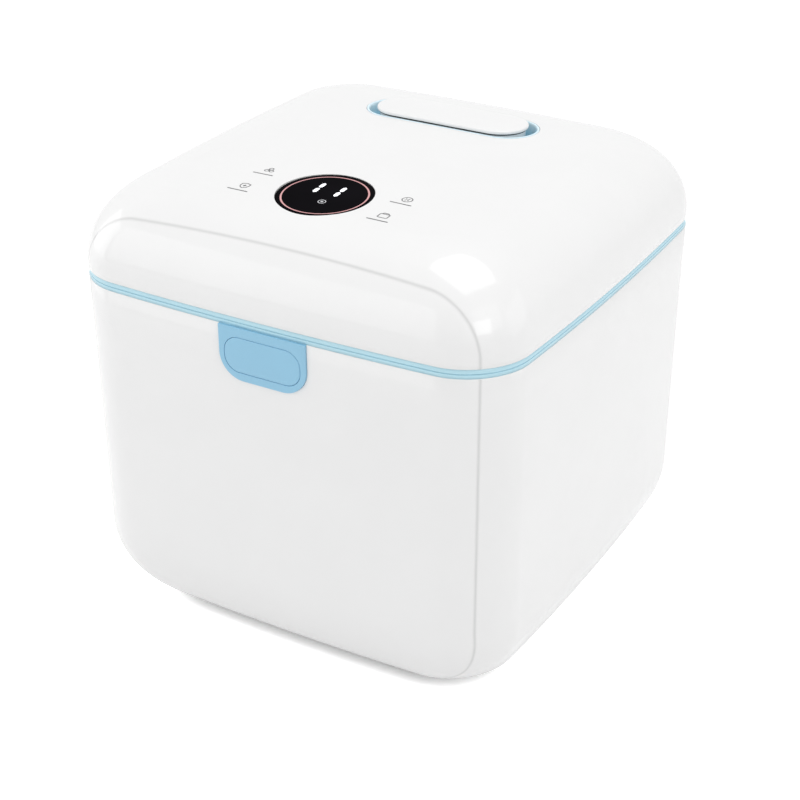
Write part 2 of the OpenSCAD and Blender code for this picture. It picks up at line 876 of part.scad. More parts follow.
bracket_plug_y = half_w - 0.9;
module hinge_bracket() {
    flange_y = half_w - wall - 1.1;
    low_z = body_top - hinge_plug_h;
    color(shell_white)
    difference() {
        union() {
            block([-hinge_half, flange_y - 2.6, low_z], [hinge_half, bracket_plug_y, body_top - 1.5]);
            block([-hinge_half - 8, flange_y - 2.6, hinge_flange_z], [hinge_half + 8, flange_y, body_top - 10]);
            for (s = [-1, 1])
                translate([s * (lid_knuckle_w / 2 + knuckle_gap + body_knuckle_w / 2), 0, 0]) {
                    bar_x(hinge_y, hinge_z, knuckle_r, -body_knuckle_w / 2, body_knuckle_w / 2);
                    block(
                        [-body_knuckle_w / 2, flange_y - 2.6, body_top - 3],
                        [body_knuckle_w / 2, hinge_y, hinge_z]
                    );
                }
        }
        bar_x(hinge_y, hinge_z, pin_r, -hinge_half - over, hinge_half + over);
        bar_x(hinge_y, hinge_z, knuckle_r + 0.5, -lid_knuckle_w / 2 - knuckle_gap, lid_knuckle_w / 2 + knuckle_gap);
        hinge_bracket_screw_places()
            cylinder(r = screw_hole_r, h = 12, center = true);
    }
}

module hinge_bracket_screw_places() {
    for (s = [-1, 1], z = [hinge_flange_z + 4, hinge_flange_z + 14])
        translate([s * (hinge_half + 4), half_w - wall - 3.7, z])
            rotate([-90, 0, 0])
                children();
}

module bracket_screws() {
    color(steel) {
        hinge_bracket_screw_places()
            translate([0, 0, -screw_head_h - 0.05])
                screw(screw_r, screw_head_r, screw_head_h, bracket_screw_l);
        latch_bracket_screw_places()
            translate([0, 0, -screw_head_h - 0.05])
                screw(screw_r, screw_head_r, screw_head_h, bracket_screw_l - 0.8);
    }
}

module hinge_pin() {
    color(steel)
        bar_x(hinge_y, hinge_z, pin_r, -hinge_half - 0.5, hinge_half + 0.5);
}

// Blower, heater and duct
fan_z = foot_gap + base_t + filter_t + 4;
wheel_z = fan_z + 3.2;
scroll_h = wheel_h + 6;
scroll_wall = 2;
shaft_r = 1.5;
scroll_gap = 4;
scroll_growth = 12;
scroll_points = 36;
outlet_reach = wheel_r + 8;
outlet_low = 14;
outlet_high = wheel_r + scroll_gap + scroll_growth;
function scroll_end(grow) = 360 + asin((outlet_low - grow) / (wheel_r + scroll_gap + grow));
module scroll_shape(grow) {
    turn = scroll_end(grow) - 90;
    polygon(concat(
        [for (i = [0 : scroll_points])
            let (a = 90 + turn * i / scroll_points, r = outlet_high + grow - scroll_growth * i / scroll_points)
            [r * cos(a), r * sin(a)]],
        [[outlet_reach, outlet_low - grow], [outlet_reach, outlet_high + grow]]
    ));
}

blower_leg_r = 3.4;
function scroll_r(a) = outlet_high - scroll_growth * (a - 90) / (scroll_end(0) - 90);
function leg_at(a) =
    let (r = scroll_r(a) + scroll_wall + blower_leg_r / 2) [fan_x + r * cos(a), fan_y + r * sin(a)];
blower_legs = [
    leg_at(190), leg_at(280), leg_at(350), [duct_low[0] - 34, fan_y + 27], [duct_low[0] + 4, 40]
];
module blower_leg_places() {
    for (p = blower_legs)
        translate([p[0], p[1], 0])
            children();
}

module blower_legs(first, last) {
    low = foot_gap + base_t + 0.1;
    difference() {
        for (i = [first : last])
            translate([blower_legs[i][0], blower_legs[i][1], low])
                cylinder(r = blower_leg_r, h = fan_z + 1 - low);
        blower_leg_places()
            cylinder(r = screw_hole_r, h = fan_z - 0.5);
    }
}

module blower_screws() {
    color(steel)
    blower_leg_places()
        translate([0, 0, foot_gap + 0.2])
            screw(screw_r, screw_head_r, 1.2, 8);
}

module fan_housing() {
    color(dark_plastic) {
        translate([fan_x, fan_y, fan_z])
            difference() {
                linear_extrude(scroll_h)
                    scroll_shape(scroll_wall);
                translate([0, 0, 2])
                    linear_extrude(scroll_h - 4)
                        scroll_shape(0);
                translate([outlet_reach - over, outlet_low, 2])
                    cube([2 * over, outlet_high - outlet_low, scroll_h - 4]);
                translate([0, 0, -over])
                    cylinder(r = wheel_r - 4, h = 4);
                translate([0, 0, scroll_h - 3])
                    cylinder(r = shaft_r + 1, h = 5);
            }
        blower_legs(0, 2);
    }
}

module fan_wheel() {
    blade_l = 7;
    color(shell_white)
    translate([fan_x, fan_y, wheel_z])
        difference() {
            union() {
                translate([0, 0, wheel_h - 1.6])
                    cylinder(r = wheel_r, h = 1.6);
                cylinder(r1 = 5, r2 = 8, h = wheel_h - 1.6);
                difference() {
                    cylinder(r = wheel_r, h = 1.4);
                    translate([0, 0, -over])
                        cylinder(r = wheel_r - blade_l + 1, h = 4);
                }
                for (i = [0 : blade_count - 1])
                    rotate([0, 0, 360 * i / blade_count])
                        translate([wheel_r - 0.6, 0, 0])
                            rotate([0, 0, 28])
                                translate([-blade_l, -0.5, 0])
                                    cube([blade_l, 1, wheel_h - 1]);
            }
            translate([0, 0, 3])
                cylinder(r = shaft_r + 0.05, h = wheel_h);
        }
}

motor_z = fan_z + scroll_h;
motor_h = 18;
module fan_shaft() {
    color(steel)
        translate([fan_x, fan_y, wheel_z + 3.2])
            cylinder(r = shaft_r, h = motor_z + motor_h + 2 - wheel_z - 3.2);
}

module fan_motor() {
    color(steel)
    translate([fan_x, fan_y, motor_z])
        difference() {
            union() {
                cylinder(r = 14, h = motor_h);
                cylinder(r = 18, h = 1.6);
                translate([0, 0, motor_h])
                    cylinder(r = 4, h = 1.4);
            }
            translate([0, 0, -over])
                cylinder(r = shaft_r + run_gap, h = motor_h + 4);
        }
}

module intake_filter() {
    color(dark_plastic)
        translate([fan_x, fan_y, foot_gap + base_t + 0.1])
            cylinder(r = filter_r, h = filter_t - 0.2);
}

heater_x0 = fan_x + outlet_reach + 12;
heater_x1 = duct_low[0] - 18;
duct_y0 = fan_y + outlet_low;
duct_y1 = fan_y + outlet_high;
module hot_air_duct() {
    x0 = fan_x + outlet_reach + seat_gap;
    z0 = fan_z;
    z1 = fan_z + scroll_h;
    color(dark_plastic)
    difference() {
        union() {
            block([x0, duct_y0 - duct_wall, z0], [duct_high[0] + duct_wall, duct_y1 + duct_wall, z1]);
            block(
                [duct_low[0] - duct_wall, duct_low[1] - duct_wall, z0],
                [duct_high[0] + duct_wall, duct_y1 + duct_wall, z1]
            );
            block(
                [duct_low[0] - duct_wall, duct_low[1] - duct_wall, z1 - over],
                [duct_high[0] + duct_wall, duct_high[1] + duct_wall, liner_z - seat_gap]
            );
        }
        block([x0 - over, duct_y0, z0 + duct_wall], [duct_high[0], duct_y1, z1 - duct_wall]);
        block([duct_low[0], duct_low[1], z0 + duct_wall], [duct_high[0], duct_y1, z1 - duct_wall]);
        block([duct_low[0], duct_low[1], z0 + duct_wall], [duct_high[0], duct_high[1], liner_z]);
    }
    color(dark_plastic)
        blower_legs(3, 4);
}

fin_count = 12;
module heater() {
    z0 = fan_z + duct_wall + seat_gap;
    z1 = fan_z + scroll_h - duct_wall - seat_gap;
    y0 = duct_y0 + seat_gap;
    y1 = duct_y1 - seat_gap;
    pitch = (y1 - y0 - 0.6) / fin_count;
    color("#B8BCC0")
    union() {
        for (z = [z0, (z0 + z1) / 2 - 1, z1 - 2])
            block([heater_x0, y0, z], [heater_x1, y1, z + 2]);
        for (i = [0 : fin_count])
            block([heater_x0, y0 + i * pitch, z0], [heater_x1, y0 + i * pitch + 0.6, z1]);
    }
}

// Main board, its parts and screws
module main_board() {
    color(board_green)
    difference() {
        block([board_low[0], board_low[1], board_z], [board_high[0], board_high[1], board_z + 1.6]);
        board_screw_places()
            cylinder(r = screw_hole_r + 0.1, h = 60);
    }
}

module board_parts() {
    z = board_z + 1.6;
    color(gloss_black) {
        block([-46, -66, z], [-20, -42, z + 22]);
        block([-12, -68, z], [4, -50, z + 16]);
        for (i = [0 : 3])
            translate([14 + 12 * i, -60, z])
                cylinder(r = 4.5, h = 18 - 2 * i);
        block([-44, -34, z], [-24, -20, z + 3]);
        block([12, -44, z], [44, -41, z + 20]);
        for (i = [0 : 2])
            block([-10 + 20 * i, -28, z], [2 + 20 * i, -20, z + 8]);
    }
}

module board_screws() {
    color(steel)
    board_screw_places()
        translate([0, 0, board_z + 1.6 + screw_head_h])
            rotate([180, 0, 0])
                screw(screw_r, screw_head_r, screw_head_h, 8);
}

// Power inlet: a two-pole socket in the rear wall
module power_inlet() {
    y = inlet_face_y;
    slot_w = 18;
    slot_h = 9.5;
    color(gloss_black)
    difference() {
        union() {
            block(
                [inlet_x - inlet_w / 2, y - inlet_depth, inlet_z - inlet_h / 2],
                [inlet_x + inlet_w / 2, y + 1, inlet_z + inlet_h / 2]
            );
            block([inlet_x - 16.5, y, inlet_z - 13.5], [inlet_x + 16.5, y + 2, inlet_z + 13.5]);
        }
        for (s = [-1, 1])
            bar_y(inlet_x + s * (slot_w - slot_h) / 2, inlet_z, slot_h / 2, y - 13, y + 3);
        block(
            [inlet_x - (slot_w - slot_h) / 2, y - 13, inlet_z - slot_h / 2],
            [inlet_x + (slot_w - slot_h) / 2, y + 3, inlet_z + slot_h / 2]
        );
    }
    color(steel)
        for (s = [-1, 1])
            bar_y(inlet_x + s * 4.3, inlet_z, 1.2, y - 14, y - 3);
}

// Lid interlock: a reed switch in the body and a magnet in the lid
reed_x = 41;
reed_y = -(half_w - 14);
module reed_switch() {
    color(gloss_black)
        block([reed_x - 9, reed_y - 3, body_top - 7.2], [reed_x + 9, reed_y + 3, body_top - 0.2]);
}

module lid_magnet() {
    color(steel)
        translate([reed_x, reed_y, panel_top + 0.1])
            cylinder(r = 4.4, h = 3);
}

// Lid shell
leaf_y = half_w - lid_wall - 2.2;
leaf_top = panel_top + 13;
leaf_screw_x = lid_knuckle_w / 2 + 9;
leaf_screw_l = 4.5;
lid_steps = 9;
crown_steps = 4;
function lid_corner(u) = corner_r * (1 - u) + top_corner_r * u;
function lid_sections(t) = concat(
    [[half_w - t, corner_r - t, lid_shell_z - (t > 0 ? over : 0)]],
    [for (k = [0 : lid_steps])
        let (a = fillet_end * k / lid_steps, u = 1 - cos(a))
        [half_w - t - (top_inset - t) * u, lid_corner(u) - t, fillet_z + (top_rise - t) * sin(a)]],
    [for (k = [1 : crown_steps])
        let (
            f = 1 - k / (crown_steps + 0.5),
            u_end = 1 - cos(fillet_end),
            a_end = half_w - t - (top_inset - t) * u_end,
            r_end = lid_corner(u_end) - t,
            a = a_end * f
        )
        [a, a * (1 - (1 - r_end / a_end) * f), fillet_z + (top_rise - t) * sin(fillet_end)
            + crown_rise * (1 - f * f)]]
);

function lid_z(y) = crown_edge_z + crown_rise * (1 - pow(y / crown_half, 2));
function lid_tilt(y) = -atan(2 * crown_rise * y / pow(crown_half, 2));

// Puts children on the lid's outer surface, square to it
module on_lid(y) {
    translate([0, y, lid_z(y)])
        rotate([lid_tilt(y), 0, 0])
            children();
}

lid_boss_out = half_w - 14.5;
lid_boss_in = 62;
module lid_screw_places() {
    for (q = [0 : 3])
        rotate([0, 0, 90 * q])
            for (s = [-1, 1])
                translate([lid_boss_out, s * lid_boss_in, 0])
                    children();
}

display_y = -(half_w - display_inset);
display_sink = 0.3;

// The display lies on the chord from its front edge to its rear edge
function lid_surface_z(y) = abs(y) < crown_half
    ? lid_z(y)
    : fillet_z + top_rise * sin(acos(1 - (half_w - abs(y)) / top_inset));
display_front_z = lid_surface_z(display_y - display_r);
display_rear_z = lid_surface_z(display_y + display_r);
display_tilt = atan((display_rear_z - display_front_z) / (2 * display_r));
module on_display() {
    translate([0, display_y, (display_front_z + display_rear_z) / 2])
        rotate([display_tilt, 0, 0])
            children();
}

display_board_w = -14;
display_board_half_w = 57;
display_board_half_d = 22;
display_screw_x = display_board_half_w - 5.5;
display_screw_y = display_board_half_d - 6;
module display_screw_places() {
    for (sx = [-1, 1], sy = [-1, 1])
        translate([sx * display_screw_x, sy * display_screw_y, 0])
            children();
}

handle_y = half_w - handle_inset;
cup_gap = 0.25;
cup_wall = 1.7;
cup_lip = 0.5;
cup_ledge = 1.3;
cup_l = bar_l + 2 * bar_end_gap + 2 * cup_wall;
cup_d = bar_d + 2 * 0.8 + 2 * cup_wall;
cup_top = -0.4;
module lid_shell() {
    color(shell_white)
    difference() {
        loft(lid_sections(0));
        difference() {
            loft(lid_sections(lid_wall));
            lid_screw_places()
                translate([0, 0, panel_top + 0.1])
                    cylinder(r = boss_r, h = body_w);
            on_display()
                display_screw_places()
                    translate([0, 0, display_board_w + 1.7])
                        cylinder(r = boss_r, h = 30);
            for (s = [-1, 1])
                translate([s * leaf_screw_x, 0, 0])
                    block([-8, leaf_y + 0.1, panel_top + 3], [8, half_w, leaf_top + 2]);
        }
        lid_screw_places()
            translate([0, 0, panel_z])
                cylinder(r = screw_hole_r, h = 14);
        on_display() {
            display_screw_places()
                translate([0, 0, display_board_w])
                    cylinder(r = screw_hole_r, h = 9);
            translate([0, 0, -12])
                cylinder(r = display_r - 2.2, h = 14);
            translate([0, 0, -display_t - display_sink - 0.05])
                cylinder(r = display_r + 0.2, h = 6);
        }
        on_lid(handle_y)
            pill(cup_l + 2 * cup_gap, cup_d + 2 * cup_gap, -20, 10);
        hinge_leaf_screw_places()
            cylinder(r = screw_hole_r, h = leaf_screw_l + 0.2);
        hinge_clearance();
        block(
            [-lid_knuckle_w / 2 - knuckle_gap, half_w - 8, lid_shell_z - over],
            [lid_knuckle_w / 2 + knuckle_gap, half_w + over, hinge_z + knuckle_r + 0.5]
        );
    }
}

// Blue band of the lid
module lid_trim() {
    tongue = lid_wall + fit_gap;
    color(band_blue)
    difference() {
        union() {
            plan_ring(trim_inset, tongue + 3, lid_base, lid_trim_h);
            plan_ring(tongue, tongue + 3, lid_shell_z - 0.2, 3.4);
            plan_ring(tongue + 2, tongue + 6, panel_top + seat_gap, 1.4);
        }
        hinge_clearance();
        block(
            [-lid_knuckle_w / 2 - knuckle_gap, half_w - 12, lid_base - over],
            [lid_knuckle_w / 2 + knuckle_gap, half_w + over, lid_base + 12]
        );
        block([-striker_half - 2, -half_w, panel_top], [striker_half + 2, -slot_rear, panel_top + 3]);
    }
}

// Inner lid panel
panel_inset = lid_wall + fit_gap + 3 + fit_gap;
seal_w = 3.2;
seal_inner = liner_half + 2.4;
seal_bottom = rim_top + 0.25;
module seal_ring(grow, z, h) {
    difference() {
        square_plate(2 * (seal_inner + seal_w + grow), liner_r + 2.4 + seal_w + grow, z, h);
        square_plate(2 * (seal_inner - grow), liner_r + 2.4 - grow, z - over, h + 2 * over);
    }
}

module lid_panel() {
    color(shell_white)
    difference() {
        plan_plate(panel_inset, panel_z, panel_t);
        seal_ring(0.1, panel_z - over, over + 1.3);
        block([-window_x, -window_y, panel_z - over], [window_x, window_y, panel_top + over]);
        block(
            [-window_x - 4, -window_y - 4, panel_top - 1.2],
            [window_x + 4, window_y + 4, panel_top + over]
        );
        latch_slot(panel_z - over, panel_t + 2 * over);
        lid_screw_places()
            translate([0, 0, panel_z - over]) {
                cylinder(r = screw_hole_r + 0.1, h = panel_t + 2 * over);
                cylinder(r = screw_head_r + seat_gap, h = 1.2 + over);
            }
        block(
            [-hinge_half - 1, half_w - 12, panel_z - over],
            [hinge_half + 1, half_w + over, panel_top + over]
        );
    }
}

module lid_seal() {
    color(grey_rubber)
        seal_ring(0, seal_bottom, panel_z + 1.2 - seal_bottom);
}

module lid_screws() {
    color(steel)
    lid_screw_places()
        translate([0, 0, panel_z + 0.1])
            screw(screw_r, screw_head_r, 1, 11);
}

module striker() {
    color(steel)
    difference() {
        block(
            [-striker_half, -slot_front - 0.1, panel_top + 0.1],
            [striker_half, -slot_rear + 3.4, panel_top + 0.1 + striker_t]
        );
        block([-slot_x + 1, -striker_front, panel_top - over], [slot_x - 1, -slot_rear, panel_top + 3]);
        for (s = [-1, 1])
            translate([s * (striker_half - 3.5), -(slot_front + slot_rear) / 2, panel_top])
                cylinder(r = screw_hole_r, h = 4);
    }
}

module hinge_leaf() {
    half = lid_knuckle_w / 2;
    color(shell_white)
    difference() {
        union() {
            bar_x(hinge_y, hinge_z, knuckle_r, -half, half);
            block([-half, leaf_y - 3, hinge_z], [half, hinge_y, hinge_z + 4.2]);
            block([-half, leaf_y - 3, hinge_z], [half, leaf_y, leaf_top]);
            block([-half - 18, leaf_y - 3, panel_top + 3.2], [half + 18, leaf_y, leaf_top]);
        }
        bar_x(hinge_y, hinge_z, pin_r + run_gap, -half - over, half + over);
        hinge_leaf_screw_places()
            cylinder(r = screw_hole_r, h = 12, center = true);
    }
}

module hinge_leaf_screw_places() {
    for (s = [-1, 1])
        translate([s * leaf_screw_x, leaf_y - 3, leaf_top - 5])
            rotate([-90, 0, 0])
                children();
}

module hinge_leaf_screws() {
    color(steel)
    hinge_leaf_screw_places()
        translate([0, 0, -screw_head_h - 0.05])
            screw(screw_r, screw_head_r, screw_head_h, leaf_screw_l);
}

// Reflector and guard of the upper lamp
reflector_t = 0.8;
reflector_top = panel_top + 25;
upper_lamp_z = panel_top + 13;
module lamp_reflector() {
    z = panel_top + 0.1;
    roof_y = 14;
    color(steel)
    difference() {
        union() {
            block([-window_x - 14, -window_y - 14, z], [window_x + 14, window_y + 14, z + reflector_t]);
            translate([-window_x - 4, 0, 0])
                rotate([90, 0, 90])
                    linear_extrude(2 * window_x + 8)
                        polygon([
                            [-window_y - 4, z], [-roof_y - 3, reflector_top],
                            [roof_y + 3, reflector_top], [window_y + 4, z]
                        ]);
        }
        translate([-window_x - 4 + reflector_t, 0, 0])
            rotate([90, 0, 90])
                linear_extrude(2 * window_x + 8 - 2 * reflector_t)
                    polygon([
                        [-window_y - 3, z - over], [-roof_y - 2.2, reflector_top - reflector_t],
                        [roof_y + 2.2, reflector_top - reflector_t], [window_y + 3, z - over]
                    ]);
    }
}

module lamp_guard() {
    color("#E4EEF4", 0.35)
        block(
            [-window_x - 3.7, -window_y - 3.7, panel_top - 1.15],
            [window_x + 3.7, window_y + 3.7, panel_top - 0.05]
        );
}

// Display
module display_window() {
    color(gloss_black)
    on_display()
        translate([0, 0, -display_t - display_sink])
            difference() {
                cylinder(r = display_r, h = display_t);
                translate([0, 0, display_t - 0.9])
                    difference() {
                        cylinder(r = glow_r + 0.75, h = 2);
                        translate([0, 0, -over])
                            cylinder(r = glow_r - 0.75, h = 4);
                    }
            }
}

module glow_ring() {
    color("#E8606A")
    on_display()
        translate([0, 0, -display_sink - 0.85])
            difference() {
                cylinder(r = glow_r + 0.65, h = 0.8);
                translate([0, 0, -over])
                    cylinder(r = glow_r - 0.65, h = 4);
            }
}

digit_half_w = 17;
module digit_module() {
    color(dark_plastic)
    on_display()
        block([-digit_half_w, -10, display_board_w + 1.65], [digit_half_w, 12, -display_t - display_sink - 0.3]);
}

module display_board() {
    color(board_green)
    on_display()
        difference() {
            block(
                [-display_board_half_w, -display_board_half_d, display_board_w],
                [display_board_half_w, display_board_half_d, display_board_w + 1.6]
            );
            display_screw_places()
                translate([0, 0, display_board_w - over])
                    cylinder(r = screw_hole_r + 0.1, h = 5);
        }
}

module display_screws() {
    color(steel)
    on_display()
        display_screw_places()
            translate([0, 0, display_board_w - screw_head_h - 0.05])
                screw(screw_r, screw_head_r, screw_head_h, 6);
}

touch_x = 43;
touch_y = 10;
touch_r = 4;
module touch_pads() {
    color(dark_plastic)
    on_display()
        for (sx = [-1, 1])
            for (sy = [-0.9, 1.4])
                translate([sx * touch_x, sy * touch_y - 1, display_board_w + 1.65])
                    cylinder(r = touch_r, h = -display_board_w - 1.65 - lid_wall - 0.9);
}

// Pull-up handle in its cup
bar_neck = 1.2;
bar_cap_low = 0.4;
cup_gap_under = 1.6;
cup_floor = -bar_sunk - cup_gap_under;
cup_floor_t = 2;
guide_h = 3;
module post_places() {
    for (s = [-1, 1])
        translate([s * post_pitch / 2, 0, 0])
            children();
}

module handle_cup() {
    color(band_blue)
    on_lid(handle_y)
        difference() {
            union() {
                pill(cup_l, cup_d, cup_floor - cup_floor_t, cup_top, 0.3, 2);
                post_places()
                    translate([0, 0, cup_floor - cup_floor_t - guide_h])
                        cylinder(r = post_r + 3, h = guide_h + 1);
            }
            difference() {
                union() {
                    pill(cup_l - 2 * cup_wall, cup_d - 2 * cup_wall, cup_floor, cup_top + 5, 0, 3);
                    pill(cup_l - 2 * cup_lip, cup_d - 2 * cup_lip, cup_top - cup_ledge, cup_top + 4, 0, 1);
                }
                for (sx = [-1, 1], sy = [-1, 1])
                    translate([sx * post_pitch / 4, sy * (bar_d / 2 - bar_neck - 2.2), cup_floor - over])
                        cylinder(r = 1.6, h = over + cup_gap_under - fit_gap);
            }
            post_places()
                translate([0, 0, cup_floor - 12])
                    cylinder(r = post_r + run_gap, h = 20);
        }
}

module handle_bar() {
    color(shell_white)
    on_lid(handle_y)
        difference() {
            union() {
                pill(bar_l, bar_d, bar_cap_low, bar_proud, 1.1);
                pill(bar_l - 2 * bar_neck, bar_d - 2 * bar_neck, -bar_sunk, bar_cap_low + 0.5, 0, 1.2);
            }
            translate([0, 0, -bar_sunk - over])
                pill(post_pitch - 18, bar_d - 8 - 2 * bar_neck, 0, over + 4.5);
            post_places()
                translate([0, 0, -bar_sunk - over])
                    cylinder(r = post_r + 0.02, h = over + 6);
        }
}

clip_t = 1.3;
clip_drop = 1.05;
post_low = cup_floor - cup_floor_t - guide_h - handle_travel - fit_gap - clip_t - clip_drop;
module handle_posts() {
    color(steel)
    on_lid(handle_y)
        post_places()
            difference() {
                translate([0, 0, post_low])
                    cylinder(r = post_r, h = 6 - bar_sunk - post_low);
                translate([0, 0, post_low + 1])
                    difference() {
                        cylinder(r = post_r + 1, h = 1.4);
                        translate([0, 0, -over])
                            cylinder(r = post_r - 0.8, h = 4);
                    }
            }
}

module post_clips() {
    color(dark_plastic)
    on_lid(handle_y)
        post_places()
            translate([0, 0, post_low + clip_drop])
                difference() {
                    cylinder(r = post_r + 2.6, h = clip_t);
                    translate([0, 0, -over])
                        cylinder(r = post_r - 0.75, h = 4);
                }
}

body_shell();
base_plate();
foot(-1, -1);  // foot_front_left
foot(1, -1);  // foot_front_right
foot(-1, 1);  // foot_rear_left
foot(1, 1);  // foot_rear_right
base_screws();
rim_frame();
chamber_liner();
wire_rack();
rack_fence();
lamp_tube(lower_lamp_z);  // lower_lamp_tube
lamp_caps(lower_lamp_z);  // lower_lamp_caps
lamp_sockets(lower_lamp_z, liner_z + liner_t + 0.1);  // lower_lamp_sockets
latch_bezel();
latch_bracket();
latch_pin();
latch_spring();
release_button();
latch_lever();
hinge_bracket();
hinge_pin();
bracket_screws();
fan_housing();
fan_wheel();
fan_shaft();
fan_motor();
heater();
hot_air_duct();
intake_filter();
blower_screws();
main_board();
board_parts();
board_screws();
power_inlet();
reed_switch();
lid_shell();
lid_trim();
lid_panel();
lid_seal();
lid_screws();
lid_magnet();
striker();
hinge_leaf();
hinge_leaf_screws();
lamp_tube(upper_lamp_z);  // upper_lamp_tube
lamp_caps(upper_lamp_z);  // upper_lamp_caps
lamp_sockets(upper_lamp_z, reflector_top - reflector_t - 0.1);  // upper_lamp_sockets
lamp_reflector();
lamp_guard();
display_window();
glow_ring();
digit_module();
display_board();
display_screws();
touch_pads();
handle_cup();
handle_bar();
handle_posts();
post_clips();
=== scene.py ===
"""A counter-top ultraviolet steriliser box, dressed for a product photograph.

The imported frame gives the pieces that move. This script replaces the moulded skins with
smooth ones worked out from the same sizes, and gives every piece its finish.
"""

import json
import logging
import math
from dataclasses import dataclass, field
from enum import Enum
from functools import cache, cached_property
from typing import Iterable, Sequence

import bmesh
import bpy
from mathutils import Matrix, Vector
from mathutils.bvhtree import BVHTree

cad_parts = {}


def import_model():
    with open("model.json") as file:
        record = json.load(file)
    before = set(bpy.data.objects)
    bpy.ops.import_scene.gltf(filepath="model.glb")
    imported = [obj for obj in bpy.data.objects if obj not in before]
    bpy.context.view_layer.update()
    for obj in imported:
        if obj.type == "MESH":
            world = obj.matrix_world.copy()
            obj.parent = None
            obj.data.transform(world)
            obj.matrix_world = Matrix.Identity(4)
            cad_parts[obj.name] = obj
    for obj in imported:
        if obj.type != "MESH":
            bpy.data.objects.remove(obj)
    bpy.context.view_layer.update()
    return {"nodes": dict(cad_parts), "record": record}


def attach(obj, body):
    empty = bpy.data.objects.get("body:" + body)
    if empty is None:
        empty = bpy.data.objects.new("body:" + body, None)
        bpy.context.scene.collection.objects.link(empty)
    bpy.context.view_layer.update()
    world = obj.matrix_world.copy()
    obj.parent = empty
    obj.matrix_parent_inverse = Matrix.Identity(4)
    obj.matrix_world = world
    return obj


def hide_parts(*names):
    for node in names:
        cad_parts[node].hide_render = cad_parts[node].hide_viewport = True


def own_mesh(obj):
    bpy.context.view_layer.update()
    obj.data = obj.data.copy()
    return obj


log = logging.getLogger("steriliser")
MM = 0.001
QUARTER = math.pi / 2
Point2 = tuple[float, float]
Point3 = tuple[float, float, float]


class Body(str, Enum):
    """The moving bodies of the frame that pieces of this script ride on."""

    HOUSING = "housing"
    LID = "lid"
    HANDLE = "handle"
    BUTTON = "button"


class Grain(str, Enum):
    """How the fine texture of a finish runs."""

    ORANGE_PEEL = "orange peel"
    BRUSHED = "brushed"
    SPARKED = "sparked"
    FOAM = "foam"


class Symbol(str, Enum):
    """The touch symbols on the lid."""

    DROPS = "drops"
    SHIELD = "shield"
    RING = "ring"
    BOX = "box"


class Nodes:
    """The node tree of a material or of the world, with short ways to add to it."""

    def __init__(self, owner: bpy.types.Material | bpy.types.World, main: str = "Principled BSDF") -> None:
        """Switches the owner's nodes on and finds its shader.

        Args:
            owner: the material or world.
            main: the name of its shader node.
        """
        owner.use_nodes = True
        self.owner = owner
        self.tree = owner.node_tree
        self.shader = self.tree.nodes[main]

    @cached_property
    def place(self) -> bpy.types.NodeSocket:
        """The object's own coordinates, in metres."""
        return self.add("ShaderNodeTexCoord").outputs["Object"]

    def feed(self, node: bpy.types.Node, inputs: dict) -> None:
        """Links or sets a node's inputs.

        Args:
            node: the node.
            inputs: a socket to link or a value to set, by the input's name or number.
        """
        for name, value in inputs.items():
            if isinstance(value, bpy.types.NodeSocket):
                self.tree.links.new(value, node.inputs[name])
            else:
                node.inputs[name].default_value = value

    def add(self, kind: str, inputs: dict | None = None, **settings: object) -> bpy.types.Node:
        """Adds a node.

        Args:
            kind: its type.
            inputs: what its inputs get, as in feed.
            settings: its own settings, by name.

        Returns:
            The node.
        """
        node = self.tree.nodes.new(kind)
        for name, value in settings.items():
            setattr(node, name, value)
        self.feed(node, inputs or {})
        return node

    def math(self, operation: str, *values: bpy.types.NodeSocket | float) -> bpy.types.NodeSocket:
        """Adds one sum of sockets and numbers."""
        return self.add("ShaderNodeMath", dict(enumerate(values)), operation=operation).outputs[0]

    def spread(self, value: bpy.types.NodeSocket, old: Point2, new: Point2) -> bpy.types.NodeSocket:
        """Maps a value from the range old to the range new."""
        ends = {"From Min": old[0], "From Max": old[1], "To Min": new[0], "To Max": new[1]}
        return self.add("ShaderNodeMapRange", {"Value": value, **ends}).outputs["Result"]

    def ramp(
        self, factor: bpy.types.NodeSocket, ends: Sequence[float], colours: Sequence[Sequence[float]]
    ) -> bpy.types.NodeSocket:
        """Fades from one colour to another.

        Args:
            factor: what picks the colour.
            ends: where the fade starts and ends.
            colours: its first and its last colour.

        Returns:
            The colour.
        """
        node = self.add("ShaderNodeValToRGB", {"Fac": factor})
        for element, position, colour in zip(node.color_ramp.elements, ends, colours):
            element.position = position
            element.color = (*colour, 1)
        return node.outputs["Color"]

    def mix(
        self,
        factor: bpy.types.NodeSocket,
        first: bpy.types.NodeSocket | Sequence[float],
        second: Sequence[float],
        blend: str = "MIX",
    ) -> bpy.types.NodeSocket:
        """Mixes two colours, with factor as the share of the second."""
        inputs = {"Factor": factor, "A": first, "B": second}
        return self.add("ShaderNodeMix", inputs, data_type="RGBA", blend_type=blend).outputs["Result"]


